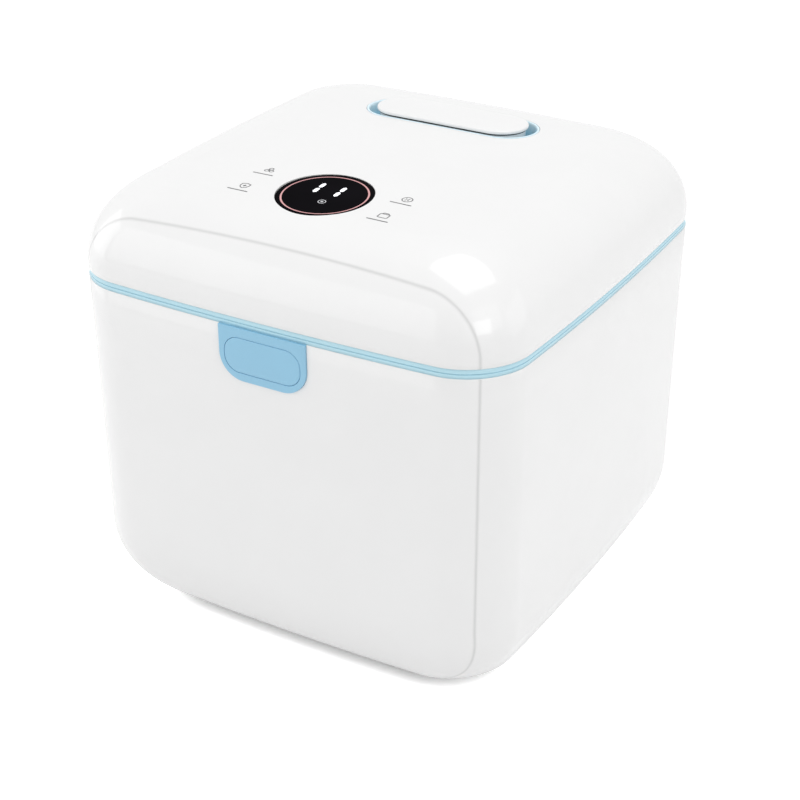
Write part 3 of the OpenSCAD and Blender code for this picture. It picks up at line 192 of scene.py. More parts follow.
@dataclass(frozen=True)
class Finish:
    """A solid finish with fine grain, uneven gloss and slight colour drift.

    Args:
        name: the material's name.
        colour: linear base colour.
        roughness: mean roughness.
        grain: which way the texture runs.
        grain_mm: size of one grain.
        depth_um: height of the grain in thousandths of a millimetre.
        metallic: one for bare metal.
        drift: how far the colour wanders from its mean.
        coat: strength of a clear top layer.
        specular: level of the plain reflection.
        crease: whether the front panel's shallow crease, a bump groove with painted shade, runs over it.
        coat_roughness: roughness of the top layer.
        cloud_mm: size of a patch of colour.
        smear_mm: size of a patch of gloss.
        smear: how far the gloss wanders from its mean.
    """

    name: str
    colour: Point3
    roughness: float = 0.35
    grain: Grain = Grain.ORANGE_PEEL
    grain_mm: float = 1.2
    depth_um: float = 6.0
    metallic: float = 0.0
    drift: float = 0.02
    coat: float = 0.0
    specular: float = 0.5
    crease: bool = False
    coat_roughness: float = 0.035
    cloud_mm: float = 38.0
    smear_mm: float = 9.0
    smear: float = 0.12

    @cache
    def make(self) -> bpy.types.Material:
        """Builds the material once and returns it afterwards.

        Returns:
            The node material.
        """
        nodes = Nodes(bpy.data.materials.new(self.name))
        colour, height = self._colour(nodes), self._height(nodes)
        if self.crease:
            # The crease darkens the colour as painted shade and sinks the bump height.
            colour, height = Crease().shade(nodes, colour), Crease().sink(nodes, height)
        bump = nodes.add("ShaderNodeBump", {"Strength": 1.0, "Distance": 1.0, "Height": height})
        sockets = {
            "Base Color": colour,
            "Metallic": self.metallic,
            "Roughness": self._roughness(nodes),
            "Specular IOR Level": self.specular,
            "Coat Weight": self.coat,
            "Coat Roughness": self.coat_roughness,
            "Normal": bump.outputs["Normal"],
        }
        nodes.feed(nodes.shader, sockets)
        return nodes.owner

    def _noise(self, nodes: Nodes, size_mm: float, detail: float) -> bpy.types.NodeSocket:
        """Adds a noise whose features are about size_mm across.

        Args:
            nodes: the material's nodes.
            size_mm: size of a feature.
            detail: number of finer octaves.

        Returns:
            The noise.
        """
        scale = 1.0 / (size_mm * MM)
        along = scale * 0.02 if self.grain is Grain.BRUSHED else scale
        stretch = nodes.add("ShaderNodeMapping", {"Vector": nodes.place, "Scale": (along, along, scale)})
        inputs = {"Vector": stretch.outputs["Vector"], "Scale": 1.0, "Detail": detail}
        return nodes.add("ShaderNodeTexNoise", inputs).outputs["Fac"]

    def _colour(self, nodes: Nodes) -> bpy.types.NodeSocket:
        """Lets the colour drift a little over some centimetres."""
        low, high = ([min(1.0, c * (1 + way * self.drift)) for c in self.colour] for way in (-1, 1))
        return nodes.ramp(self._noise(nodes, self.cloud_mm, 3.0), (0.35, 0.65), (low, high))

    def _roughness(self, nodes: Nodes) -> bpy.types.NodeSocket:
        """Makes the gloss uneven, as handling and moulding leave it."""
        ends = (self.roughness * (1 - self.smear), min(1.0, self.roughness * (1 + self.smear)))
        return nodes.spread(self._noise(nodes, self.smear_mm, 4.0), (0.3, 0.7), ends)

    def _height(self, nodes: Nodes) -> bpy.types.NodeSocket:
        """Gives the grain its height in metres.

        Args:
            nodes: the material's nodes.

        Returns:
            The height.
        """
        if self.grain in (Grain.SPARKED, Grain.FOAM):
            inputs = {"Vector": nodes.place, "Scale": 1.0 / (self.grain_mm * MM)}
            source = nodes.add("ShaderNodeTexVoronoi", inputs).outputs["Distance"]
        else:
            source = self._noise(nodes, self.grain_mm, 2.0)
        return nodes.math("MULTIPLY", source, self.depth_um * MM * MM)


@dataclass(frozen=True)
class Crease:
    """The shallow crease that runs round the front panel, in its roundings: a bump groove with painted shade
    in it.

    Args:
        plane_mm: where the crease crosses the seam, along Y.
        lean: how far it moves back for each millimetre below the top rounding.
        top_mm: height above which it curves back.
        top_curve: how fast it does so, for each square millimetre.
        low_mm: height below which it curves back.
        low_curve: how fast it does so.
        width_mm: its half width.
        depth_mm: its depth.
        shade_by: how much painted shade darkens it.
    """

    plane_mm: float = -128.7
    lean: float = 0.0085
    top_mm: float = 225.0
    top_curve: float = 0.0037
    low_mm: float = 62.0
    low_curve: float = 0.0034
    width_mm: float = 0.5
    depth_mm: float = 0.17
    shade_by: float = 0.2

    def _profile(self, nodes: Nodes) -> bpy.types.NodeSocket:
        """A smooth bell, one in the crease and nought beside it.

        Args:
            nodes: the material's nodes.

        Returns:
            The bell's value.
        """
        split = nodes.add("ShaderNodeSeparateXYZ", {"Vector": nodes.place})
        height = split.outputs["Z"]
        raised = nodes.math("ADD", split.outputs["Y"], nodes.math("MULTIPLY", height, self.lean))
        away = nodes.math("SUBTRACT", raised, (self.plane_mm + self.lean * self.top_mm) * MM)
        for start, way, curve in ((self.top_mm, 1.0, self.top_curve), (self.low_mm, -1.0, self.low_curve)):
            away = nodes.math("SUBTRACT", away, self._past(nodes, height, start, way, curve))
        scaled = nodes.math("DIVIDE", away, self.width_mm * MM)
        squared = nodes.math("MULTIPLY", scaled, scaled)
        return nodes.math("EXPONENT", nodes.math("MULTIPLY", squared, -1.0))

    @staticmethod
    def _past(
        nodes: Nodes, height: bpy.types.NodeSocket, start_mm: float, way: float, curve: float
    ) -> bpy.types.NodeSocket:
        """How far the crease has curved back beyond a height.

        Args:
            nodes: the material's nodes.
            height: the height in metres.
            start_mm: where the curve starts.
            way: one for above, minus one for below.
            curve: millimetres for each square millimetre.

        Returns:
            The distance in metres.
        """
        beyond = nodes.math("MULTIPLY", nodes.math("SUBTRACT", height, start_mm * MM), way)
        beyond = nodes.math("MAXIMUM", beyond, 0.0)
        return nodes.math("MULTIPLY", nodes.math("MULTIPLY", beyond, beyond), curve / MM)

    def sink(self, nodes: Nodes, height: bpy.types.NodeSocket) -> bpy.types.NodeSocket:
        """Takes the crease's depth off the grain's height."""
        return nodes.math("ADD", height, nodes.math("MULTIPLY", self._profile(nodes), -self.depth_mm * MM))

    def shade(self, nodes: Nodes, colour: bpy.types.NodeSocket) -> bpy.types.NodeSocket:
        """Darkens a plain colour a little in the crease, as painted shade."""
        return nodes.mix(self._profile(nodes), colour, (*[1 - self.shade_by] * 3, 1), "MULTIPLY")


@dataclass(frozen=True)
class ClearFinish:
    """Glass or clear plastic.

    Args:
        name: the material's name.
        colour: tint of the light that passes.
        roughness: how frosted it is.
        ior: refractive index.
    """

    name: str
    colour: Point3
    roughness: float = 0.03
    ior: float = 1.46

    @cache
    def make(self) -> bpy.types.Material:
        """Builds the material once and returns it afterwards.

        Returns:
            The node material.
        """
        nodes = Nodes(bpy.data.materials.new(self.name))
        noise = nodes.add("ShaderNodeTexNoise", {"Vector": nodes.place, "Scale": 60.0})
        frost = nodes.spread(noise.outputs["Fac"], (0.0, 1.0), (self.roughness, self.roughness * 2.5))
        glass = {"Base Color": (*self.colour, 1), "Transmission Weight": 1.0, "IOR": self.ior}
        nodes.feed(nodes.shader, {"Roughness": frost, **glass})
        return nodes.owner


@dataclass(frozen=True)
class LitFinish:
    """A surface that is lit from behind, such as a light guide or a digit.

    Args:
        name: the material's name.
        colour: colour of the surface.
        glow: colour of the light.
        strength: strength of the light.
    """

    name: str
    colour: Point3
    glow: Point3
    strength: float

    @cache
    def make(self) -> bpy.types.Material:
        """Builds the material once and returns it afterwards.

        Returns:
            The node material.
        """
        nodes = Nodes(bpy.data.materials.new(self.name))
        noise = nodes.add("ShaderNodeTexNoise", {"Vector": nodes.place, "Scale": 45.0})
        glow = nodes.ramp(noise.outputs["Fac"], (0.3, 0.7), ([c * 0.8 for c in self.glow], self.glow))
        plain = {"Base Color": (*self.colour, 1), "Roughness": 0.3}
        nodes.feed(nodes.shader, {**plain, "Emission Color": glow, "Emission Strength": self.strength})
        return nodes.owner


@dataclass(frozen=True)
class CupFinish:
    """Blue plastic with painted shade: its pale rim colour darkens to a deeper blue toward the cup's foot.

    Args:
        name: the material's name.
        rim: colour at the rim.
        foot: colour at the foot, darker as painted shade of the cup's depth.
        rim_mm: height of the rim.
        foot_mm: height of the foot.
    """

    name: str
    rim: Point3
    foot: Point3
    rim_mm: float = 271.8
    foot_mm: float = 264.0

    @cache
    def make(self) -> bpy.types.Material:
        """Builds the material once and returns it afterwards.

        Returns:
            The node material.
        """
        plastic = Finish(self.name, self.rim, 0.4, grain_mm=2.5, depth_um=0.8, drift=0.01, coat=0.3)
        nodes = Nodes(plastic.make())
        plain = nodes.shader.inputs["Base Color"].links[0].from_socket
        height = nodes.add("ShaderNodeSeparateXYZ", {"Vector": nodes.place}).outputs["Z"]
        # Painted shade: the colour darkens with depth below the rim.
        depth = nodes.spread(height, (self.rim_mm * MM, self.foot_mm * MM), (0.0, 1.0))
        nodes.feed(nodes.shader, {"Base Color": nodes.mix(depth, plain, (*self.foot, 1))})
        return nodes.owner


AnyFinish = Finish | ClearFinish | LitFinish | CupFinish


class Finishes:
    """The finishes of the box."""

    # The shells carry the crease, whose darkening is painted shade.
    shell = {"grain_mm": 2.5, "depth_um": 0.5, "drift": 0.005, "coat": 0.9, "crease": True}
    gloss = {"grain_mm": 2.5, "depth_um": 0.8, "drift": 0.012, "coat": 0.3}
    white = Finish("white_gloss_shell", (0.815, 0.815, 0.815), 0.42, **shell)
    white_bar = Finish("white_gloss_bar", (0.82,) * 3, 0.4, grain_mm=2.5, depth_um=0.6, drift=0.006, coat=0.6)
    satin = Finish("satin_white_moulding", (0.80, 0.805, 0.81), 0.5, Grain.SPARKED, 0.5, 14.0, drift=0.015)
    blue = Finish("glossy_blue_moulding", (0.268, 0.53, 0.715), 0.42, **gloss)
    blue_light = Finish("blue_band_light", (0.465, 0.72, 0.82), 0.38, **gloss)
    # The cup's foot colour is darker as painted shade of its depth.
    blue_cup = CupFinish("blue_cup", (0.72, 0.90, 0.98), (0.50, 0.84, 1.0))
    rubber = Finish("grey_rubber_feet", (0.22, 0.225, 0.23), 0.75, Grain.SPARKED, 0.4, 20.0, drift=0.06)
    seal = Finish("grey_silicone", (0.42, 0.43, 0.44), 0.55, Grain.ORANGE_PEEL, 0.8, 10.0, drift=0.04)
    chamber = Finish("polished_chamber", (0.66, 0.67, 0.68), 0.2, Grain.BRUSHED, 0.5, 1.2, 1.0, 0.04)
    wire = Finish("bright_wire", (0.72, 0.73, 0.74), 0.14, Grain.ORANGE_PEEL, 1.0, 2.0, 1.0, 0.05)
    zinc = Finish("zinc_plated_sheet", (0.55, 0.56, 0.57), 0.38, Grain.SPARKED, 2.5, 6.0, 1.0, 0.08)
    pin = Finish("ground_steel", (0.6, 0.61, 0.62), 0.22, Grain.BRUSHED, 0.3, 1.0, 1.0, 0.04)
    mirror = Finish("bright_reflector", (0.86, 0.87, 0.88), 0.1, Grain.ORANGE_PEEL, 4.0, 4.0, 1.0, 0.02)
    fins = Finish("plain_heater_fins", (0.7, 0.7, 0.71), 0.4, Grain.BRUSHED, 0.4, 2.0, 1.0, 0.05)
    caps = Finish("lamp_caps", (0.68, 0.68, 0.69), 0.3, Grain.ORANGE_PEEL, 0.8, 3.0, 1.0, 0.04)
    ceramic = Finish("unglazed_ceramic", (0.78, 0.76, 0.71), 0.5, Grain.SPARKED, 0.7, 12.0, drift=0.04)
    dark = Finish("dark_moulded", (0.035, 0.037, 0.04), 0.5, Grain.SPARKED, 0.6, 12.0, drift=0.15)
    grey = Finish("grey_moulded", (0.2, 0.205, 0.21), 0.45, Grain.SPARKED, 0.6, 10.0, drift=0.08)
    black = Finish("black_moulded", (0.012, 0.012, 0.013), 0.4, Grain.SPARKED, 0.5, 8.0, drift=0.2)
    board = Finish(
        "green_solder_mask", (0.02, 0.13, 0.055), 0.3, Grain.SPARKED, 1.6, 12.0, drift=0.35, coat=0.4
    )
    foam = Finish("open_filter_foam", (0.03, 0.03, 0.033), 0.95, Grain.FOAM, 1.1, 350.0, drift=0.3)
    window = Finish("display_window", (0.0042, 0.0036, 0.0048), 0.1, depth_um=0.2, drift=0.2, specular=0.002)
    mark = Finish("printed_grey", (0.13, 0.132, 0.135), 0.5, depth_um=2.0, drift=0.05)
    lamp = ClearFinish("lamp_quartz", (0.93, 0.96, 1.0), 0.02)
    guard = ClearFinish("guard_plate", (0.95, 0.98, 0.99), 0.03)
    ring = LitFinish("ring_light_guide", (0.16, 0.06, 0.06), (0.84, 0.44, 0.45), 0.72)
    digit = LitFinish("digit_light", (0.8, 0.8, 0.82), (0.93, 0.94, 1.0), 0.95)
    dot = LitFinish("symbol_light", (0.3, 0.3, 0.31), (0.85, 0.86, 0.9), 0.4)


def new_mesh(name: str, points: Sequence[Point3], faces: Sequence[Sequence[int]]) -> bpy.types.Object:
    """Makes an object from points in millimetres.

    Args:
        name: the object's name.
        points: corners in millimetres.
        faces: corner numbers of each face.

    Returns:
        The object, linked to the scene, smooth shaded.
    """
    mesh = bpy.data.meshes.new(name)
    mesh.from_pydata([tuple(c * MM for c in p) for p in points], [], [tuple(f) for f in faces])
    mesh.update()
    box = bmesh.new()
    box.from_mesh(mesh)
    bmesh.ops.remove_doubles(box, verts=box.verts, dist=1e-7)
    bmesh.ops.recalc_face_normals(box, faces=box.faces)
    box.to_mesh(mesh)
    box.free()
    mesh.polygons.foreach_set("use_smooth", [True] * len(mesh.polygons))
    piece = bpy.data.objects.new(name, mesh)
    bpy.context.scene.collection.objects.link(piece)
    return piece


def bridge(
    rings: Sequence[Sequence[Point3]], close_ends: bool = True, loop: bool = False
) -> tuple[list[Point3], list[tuple[int, ...]]]:
    """Joins rings of equal length with quads.

    Args:
        rings: the rings, in order.
        close_ends: whether the first and last ring get a cap.
        loop: whether the last ring joins the first.

    Returns:
        Points and faces.
    """
    count = len(rings[0])
    points = [p for ring in rings for p in ring]
    faces = []
    spans = len(rings) if loop else len(rings) - 1
    for k in range(spans):
        for i in range(count):
            j = (i + 1) % count
            a, b = k * count, ((k + 1) % len(rings)) * count
            faces.append((a + i, a + j, b + j, b + i))
    if close_ends and not loop:
        faces.append(tuple(range(count - 1, -1, -1)))
        faces.append(tuple((len(rings) - 1) * count + i for i in range(count)))
    return points, faces


def loft(name: str, rings: Sequence[Sequence[Point3]], loop: bool = False) -> bpy.types.Object:
    """Makes an object by joining rings of equal length."""
    return new_mesh(name, *bridge(rings, loop=loop))


def flat(outline: Sequence[Point2], z: float) -> list[Point3]:
    """Lays an outline down at a height."""
    return [(x, y, z) for x, y in outline]


def upright(outline: Sequence[Point2], y: float) -> list[Point3]:
    """Stands an outline of X and Z up at a depth."""
    return [(x, y, z) for x, z in outline]


def rounding(steps: int) -> list[Point2]:
    """How far a quarter circle lies from its two sides, from one end to the other."""
    angles = (QUARTER * i / steps for i in range(steps + 1))
    return [(1 - math.cos(a), 1 - math.sin(a)) for a in angles]


def harden(piece: bpy.types.Object, degrees: float = 32.0) -> bpy.types.Object:
    """Shades a piece smooth, with hard edges where faces meet at more than an angle.

    Args:
        piece: the object.
        degrees: the angle.

    Returns:
        The same object.
    """
    shape = bmesh.new()
    shape.from_mesh(piece.data)
    for edge in shape.edges:
        edge.smooth = len(edge.link_faces) == 2 and edge.calc_face_angle(0.0) < math.radians(degrees)
    shape.to_mesh(piece.data)
    shape.free()
    return piece


def dress(piece: bpy.types.Object, finish: AnyFinish) -> None:
    """Gives a whole piece one finish."""
    piece.data.materials.clear()
    piece.data.materials.append(finish.make())


def seat(
    piece: bpy.types.Object,
    body: Body,
    finish: AnyFinish,
    replaces: Sequence[str] = (),
) -> bpy.types.Object:
    """Puts a piece on its body and finish and reports it.

    Args:
        piece: the object.
        body: the body it rides on.
        finish: its finish.
        replaces: the frame's nodes that it stands for.

    Returns:
        The same object.
    """
    dress(piece, finish)
    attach(piece, body.value)
    if replaces:
        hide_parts(*replaces)
    log.info("%s rides on %s", piece.name, body.value)
    return piece


def search_tree(mesh: bpy.types.Mesh) -> BVHTree:
    """Sets up the search for the nearest spot of a mesh."""
    corners = [v.co.copy() for v in mesh.vertices]
    return BVHTree.FromPolygons(corners, [tuple(p.vertices) for p in mesh.polygons])


def carve(piece: bpy.types.Object, cutters: Sequence[bpy.types.Object]) -> None:
    """Cuts openings and keeps the skin's own shading on what is left of it.

    Args:
        piece: the object to cut.
        cutters: the tools, which are deleted afterwards.
    """
    skin = piece.data.copy()
    for number, cutter in enumerate(cutters):
        step = piece.modifiers.new(f"cut_{number}", "BOOLEAN")
        step.operation = "DIFFERENCE"
        step.solver = "EXACT"
        step.object = cutter
    bpy.context.view_layer.update()
    graph = bpy.context.evaluated_depsgraph_get()
    cut = bpy.data.meshes.new_from_object(piece.evaluated_get(graph))
    piece.modifiers.clear()
    old = piece.data
    piece.data = cut
    bpy.data.meshes.remove(old)
    for cutter in cutters:
        bpy.data.objects.remove(cutter)
    normals = skin_normals(cut, skin)
    cut.polygons.foreach_set("use_smooth", [True] * len(cut.polygons))
    cut.normals_split_custom_set(normals)
    bpy.data.meshes.remove(skin)


def skin_normals(cut: bpy.types.Mesh, skin: bpy.types.Mesh) -> list[Vector]:
    """Works out shading normals for a cut mesh from the uncut one.

    Args:
        cut: the mesh after cutting.
        skin: the mesh before cutting.

    Returns:
        One normal for each face corner.
    """
    near, alike = 0.02 * MM, 0.9
    tree = search_tree(skin)
    normals = []
    for face in cut.polygons:
        _, facing, _, off = tree.find_nearest(face.center)
        on_skin = off < near and facing.dot(face.normal) > alike
        for corner in face.vertices:
            if on_skin:
                spot, plain, index, _ = tree.find_nearest(cut.vertices[corner].co)
                normals.append(blended_normal(skin, index, spot, face.normal))
            else:
                normals.append(face.normal.copy())
    return normals


def blended_normal(skin: bpy.types.Mesh, index: int, spot: Vector, facing: Vector) -> Vector:
    """Blends a face's corner normals by nearness to a spot.

    Args:
        skin: the mesh.
        index: the face.
        spot: the place on the face.
        facing: the normal that the result has to agree with.

    Returns:
        The unit normal.
    """
    total = Vector((0, 0, 0))
    for corner in skin.polygons[index].vertices:
        vertex = skin.vertices[corner]
        total += vertex.normal / (1e-7 + (vertex.co - spot).length)
    total.normalize()
    return total if total.dot(facing) > 0.5 else facing.copy()


@dataclass(frozen=True)
class Plan:
    """The rounded, slightly bowed square that every section of the box follows.

    Args:
        half: half the width of the whole box.
        draw: how far the corners are drawn in.
        corner_steps: steps in each corner.
        side_steps: steps on each side.
    """

    half: float = 140.0
    draw: float = 4.6
    corner_steps: int = 20
    side_steps: int = 22

    def ring(self, a: float, r: float, z: float) -> list[Point3]:
        """One section.

        Args:
            a: half width of the section.
            r: its corner radius.
            z: its height.

        Returns:
            Its points.
        """
        angles = (QUARTER * i / self.corner_steps for i in range(self.corner_steps + 1))
        quarter = [(a - r + r * math.cos(t), a - r + r * math.sin(t)) for t in angles]
        quarter += [((a - r) * (1 - 2 * i / self.side_steps), a) for i in range(1, self.side_steps)]
        points = []
        for turn in range(4):
            for x, y in quarter:
                for _ in range(turn):
                    x, y = -y, x
                px = x * (1 - self.draw / self.half * (y / a) ** 2)
                py = y * (1 - self.draw / self.half * (x / a) ** 2)
                points.append((px, py, z))
        return points

    def outline(self, a: float, r: float) -> list[Point2]:
        """One section's points in X and Y."""
        return [(x, y) for x, y, _ in self.ring(a, r, 0.0)]


@dataclass(frozen=True)
class HingeRoom:
    """The room that the hinge takes out of the shells and bands, in millimetres."""

    axis: Point2 = (140.2, 218.45)
    r: float = 5.5
    half: float = 51.2
    back: float = 141.0

    def knuckle(self) -> bpy.types.Object:
        """The room of the pin and its knuckles."""
        return rod_x("cut_knuckle", *self.axis, self.r, -self.half, self.half)

    def bracket(self) -> bpy.types.Object:
        """The room of the bracket on the body."""
        return brick("cut_hinge", (-51.0, 126.0, 193.8), (51.0, self.back, 220.0))

    def leaf(self, front: float, low: float, high: float) -> bpy.types.Object:
        """The room of the leaf on the lid."""
        return brick("cut_leaf", (-30.4, front, low), (30.4, self.back, high))


@dataclass
class HousingSkin:
    """The white body shell.

    Sizes are in millimetres.
    """

    plan: Plan = field(default_factory=Plan)
    half: float = 140.0
    foot: float = 3.0
    top: float = 216.0
    corner: float = 35.0
    base_corner: float = 33.5
    inset: float = 44.0
    rise: float = 53.6
    draft: float = 1.5
    wall: float = 3.0
    floor: float = 5.0
    edge: float = 0.35
    fillet_steps: int = 28
    wall_steps: int = 8
    vents: int = 9
    vent_start: float = -62.0
    vent_pitch: float = 7.0
    vent_w: float = 3.0
    vent_h: float = 34.0
    vent_z: float = 160.0

    def sections(self, t: float, floor_t: float) -> list[tuple[float, float, float]]:
        """Half width, corner radius and height of each section, from the underside up.

        Args:
            t: how far the surface lies inside the outer one.
            floor_t: thickness of the floor.

        Returns:
            The sections.
        """
        taper = self.draft * (self.top - self.foot - self.rise) / (self.top - self.foot)
        rows = []
        for k in range(self.fillet_steps + 1):
            a = QUARTER * (1 - k / self.fillet_steps)
            u = 1 - math.cos(a)
            width = self.half - t - taper - (self.inset - t) * u
            r = (self.corner - t) * (1 - u) + (self.base_corner - t) * u
            rows.append((width, r, self.foot + floor_t + (self.rise - floor_t) * (1 - math.sin(a))))
        base = self.foot + self.rise
        for k in range(1, self.wall_steps + 1):
            f = k / self.wall_steps
            rows.append((self.half - t - taper * (1 - f), self.corner - t, base + (self.top - base) * f))
        return rows

    def build(self) -> bpy.types.Object:
        """Makes the shell and cuts its openings.

        Returns:
            The shell.
        """
        outer = self.sections(0.0, 0.0)
        inner = self.sections(self.wall, self.floor)
        lip = [(self.half - self.edge, self.corner - self.edge, self.top)]
        outer[-1] = (self.half, self.corner, self.top - self.edge)
        rows = outer + lip + [(self.half - self.wall, self.corner - self.wall, self.top)] + inner[::-1][1:]
        shell = loft("housing_skin", [self.plan.ring(*row) for row in rows])
        carve(shell, self.cutters())
        return shell

    def vent(self, x: float) -> bpy.types.Object:
        """The tool for one round-ended upright slot in the rear wall."""
        outline = rounded_outline(x, self.vent_z, self.vent_w, self.vent_h, self.vent_w / 2 - 0.01, 6)
        return prism_y("cut_vent", outline, 120.0, 145.0)

    def cutters(self) -> list[bpy.types.Object]:
        """The tools for the base, tab, hinge, inlet and vents.

        Returns:
            The cutters.
        """
        tools = [
            prism_z("cut_base_recess", self.plan.outline(91.88, 30.5), 0.0, self.foot + 2.5),
            prism_z("cut_base_hole", self.plan.outline(79.88, 21.5), 2.0, self.foot + 7.0),
            prism_y("cut_tab", TabForm().outline(0.12), -150.0, -139.2),
            prism_y("cut_button", ButtonForm().outline(2.4), -150.0, -120.0),
            HingeRoom().bracket(),
            HingeRoom().knuckle(),
            brick("cut_inlet", (67.0, 132.0, 50.0), (101.0, 141.0, 78.0)),
        ]
        return tools + [self.vent(self.vent_start + self.vent_pitch * i) for i in range(self.vents)]


def prism_z(name: str, outline: Sequence[Point2], low: float, high: float) -> bpy.types.Object:
    """A straight block over an outline in X and Y, between two heights."""
    return loft(name, [flat(outline, z) for z in (low, high)])


def prism_y(name: str, outline: Sequence[Point2], front: float, back: float) -> bpy.types.Object:
    """A straight block behind an outline in X and Z, between two depths."""
    return loft(name, [upright(outline, y) for y in (front, back)])


def brick(name: str, low: Point3, high: Point3) -> bpy.types.Object:
    """A block between its low and its high corner."""
    outline = [(low[0], low[1]), (high[0], low[1]), (high[0], high[1]), (low[0], high[1])]
    return prism_z(name, outline, low[2], high[2])


def circle(x: float, y: float, r: float, steps: int) -> list[Point2]:
    """A circle as an outline."""
    angles = (2 * math.pi * i / steps for i in range(steps))
    return [(x + r * math.cos(a), y + r * math.sin(a)) for a in angles]


def rod_x(name: str, y: float, z: float, r: float, x0: float, x1: float) -> bpy.types.Object:
    """A round rod along X, about an axis at y and z, from x0 to x1."""
    return loft(name, [[(x, across, up) for across, up in circle(y, z, r, 64)] for x in (x0, x1)])


def disc(name: str, r: float, low: float, high: float, steps: int = 96) -> bpy.types.Object:
    """A round block about the upright axis, between two heights."""
    return prism_z(name, circle(0.0, 0.0, r, steps), low, high)


def turned(name: str, profile: Sequence[Point2], steps: int = 128, hard: float = 35.0) -> bpy.types.Object:
    """A closed profile of radius and height, turned about the upright axis.

    Args:
        name: the object's name.
        profile: points of radius and height.
        steps: steps round it.
        hard: angle above which an edge is sharp.

    Returns:
        The object.
    """
    thinnest = 0.001
    rings = [flat(circle(0.0, 0.0, max(r, thinnest), steps), z) for r, z in profile]
    return harden(loft(name, rings, True), hard)


def rounded_outline(cx: float, cy: float, w: float, h: float, r: float, steps: int = 12) -> list[Point2]:
    """A rectangle with round corners.

    Args:
        cx: its middle.
        cy: its middle.
        w: its width.
        h: its height.
        r: its corner radius.
        steps: steps in each corner.

    Returns:
        The points, counter-clockwise.
    """
    points = []
    for turn, (sx, sy) in enumerate(((1, 1), (-1, 1), (-1, -1), (1, -1))):
        for i in range(steps + 1):
            t = QUARTER * (turn + i / steps)
            points.append((cx + sx * (w / 2 - r) + r * math.cos(t), cy + sy * (h / 2 - r) + r * math.sin(t)))
    return points
@dataclass(frozen=True)
class TabForm:
    """The blue tab's outline in X and Z, in millimetres."""

    w: float = 55.0
    top: float = 216.0
    bottom: float = 185.0
    r: float = 15.0
    steps: int = 16

    def outline(self, grow: float) -> list[Point2]:
        """The outline, grown outwards.

        Args:
            grow: how far.

        Returns:
            The points.
        """
        half, r, low = self.w / 2 + grow, self.r + grow, self.bottom - grow
        angles = [QUARTER * i / self.steps for i in range(self.steps + 1)]
        points = [(half, self.top), (-half, self.top)]
        points += [(-half + r - r * math.cos(t), low + r - r * math.sin(t)) for t in angles]
        points += [(half - r + r * math.sin(t), low + r - r * math.cos(t)) for t in angles]
        return points


@dataclass(frozen=True)
class ButtonForm:
    """The release button's outline in X and Z, in millimetres."""

    w: float = 48.0
    h: float = 20.6
    r: float = 9.2
    z: float = 200.1

    def outline(self, grow: float) -> list[Point2]:
        """The outline, grown outwards by a distance."""
        return rounded_outline(0.0, self.z, self.w + 2 * grow, self.h + 2 * grow, self.r + grow)


def signed_area(outline: Sequence[Point2]) -> float:
    """Twice an outline's area, above nought when it runs counter-clockwise."""
    return sum(a[0] * b[1] - b[0] * a[1] for a, b in zip(outline, [*outline[1:], outline[0]]))


def shrink(outline: Sequence[Point2], by: float) -> list[Point2]:
    """Moves an outline inwards along its own normals.

    Args:
        outline: the points, in order.
        by: the distance.

    Returns:
        The moved points.
    """
    count = len(outline)
    sign = 1.0 if signed_area(outline) > 0 else -1.0
    moved = []
    for i in range(count):
        before, here, after = (Vector(outline[j % count]) for j in (i - 1, i, i + 1))
        first, second = (here - before), (after - here)
        first = first.normalized() if first.length > 1e-9 else second.normalized()
        second = second.normalized() if second.length > 1e-9 else first
        normal = Vector((-first.y - second.y, first.x + second.x))
        scale = 2.0 / max(normal.length_squared, 0.8)
        spot = here + normal * (sign * by * scale)
        moved.append((spot.x, spot.y))
    return moved

def soft_plate(
    name: str,
    outline: Sequence[Point2],
    hole: Sequence[Point2],
    front: float,
    back: float,
    bevel: float,
    hole_bevel: float,
) -> bpy.types.Object:
    """A plate with a hole that faces the front, with rounded front edges.

    Args:
        name: the object's name.
        outline: points in X and Z.
        hole: outline of the hole, with as many points as outline.
        front: where its face lies.
        back: where its back lies.
        bevel: radius of its front edge.
        hole_bevel: radius of the hole's front edge.

    Returns:
        The object.
    """
    steps, sill = 5, 0.12
    rings = [upright(outline, back)]
    rings += [upright(shrink(outline, bevel * u), front + bevel * v) for u, v in rounding(steps)]
    edge = reversed(rounding(steps))
    rings += [upright(shrink(hole, -hole_bevel * u), front + hole_bevel * v) for u, v in edge]
    rings.append(upright(hole, front + 0.5))
    rings += [upright(shrink(hole, sill), y) for y in (front + 0.55, back)]
    return harden(loft(name, rings, True), 40)


def resample(outline: Sequence[Point2], count: int, start: Point2) -> list[Point2]:
    """Spaces points evenly round a closed outline.

    Args:
        outline: the points.
        count: how many to make.
        start: the first new point lies nearest to this.

    Returns:
        The new points.
    """
    closed = list(outline) + [outline[0]]
    lengths = [0.0]
    for a, b in zip(closed, closed[1:]):
        lengths.append(lengths[-1] + math.dist(a, b))
    total = lengths[-1]

    def at(s: float) -> Point2:
        """The point at a distance along the outline.

        Args:
            s: the distance.

        Returns:
            The point.
        """
        s %= total
        k = max(i for i in range(len(lengths) - 1) if lengths[i] <= s)
        span = lengths[k + 1] - lengths[k]
        f = (s - lengths[k]) / span if span > 1e-9 else 0.0
        a, b = closed[k], closed[k + 1]
        return (a[0] + (b[0] - a[0]) * f, a[1] + (b[1] - a[1]) * f)

    tries = 2000
    first = min((total * i / tries for i in range(tries)), key=lambda s: math.dist(at(s), start))
    return [at(first + total * i / count) for i in range(count)]


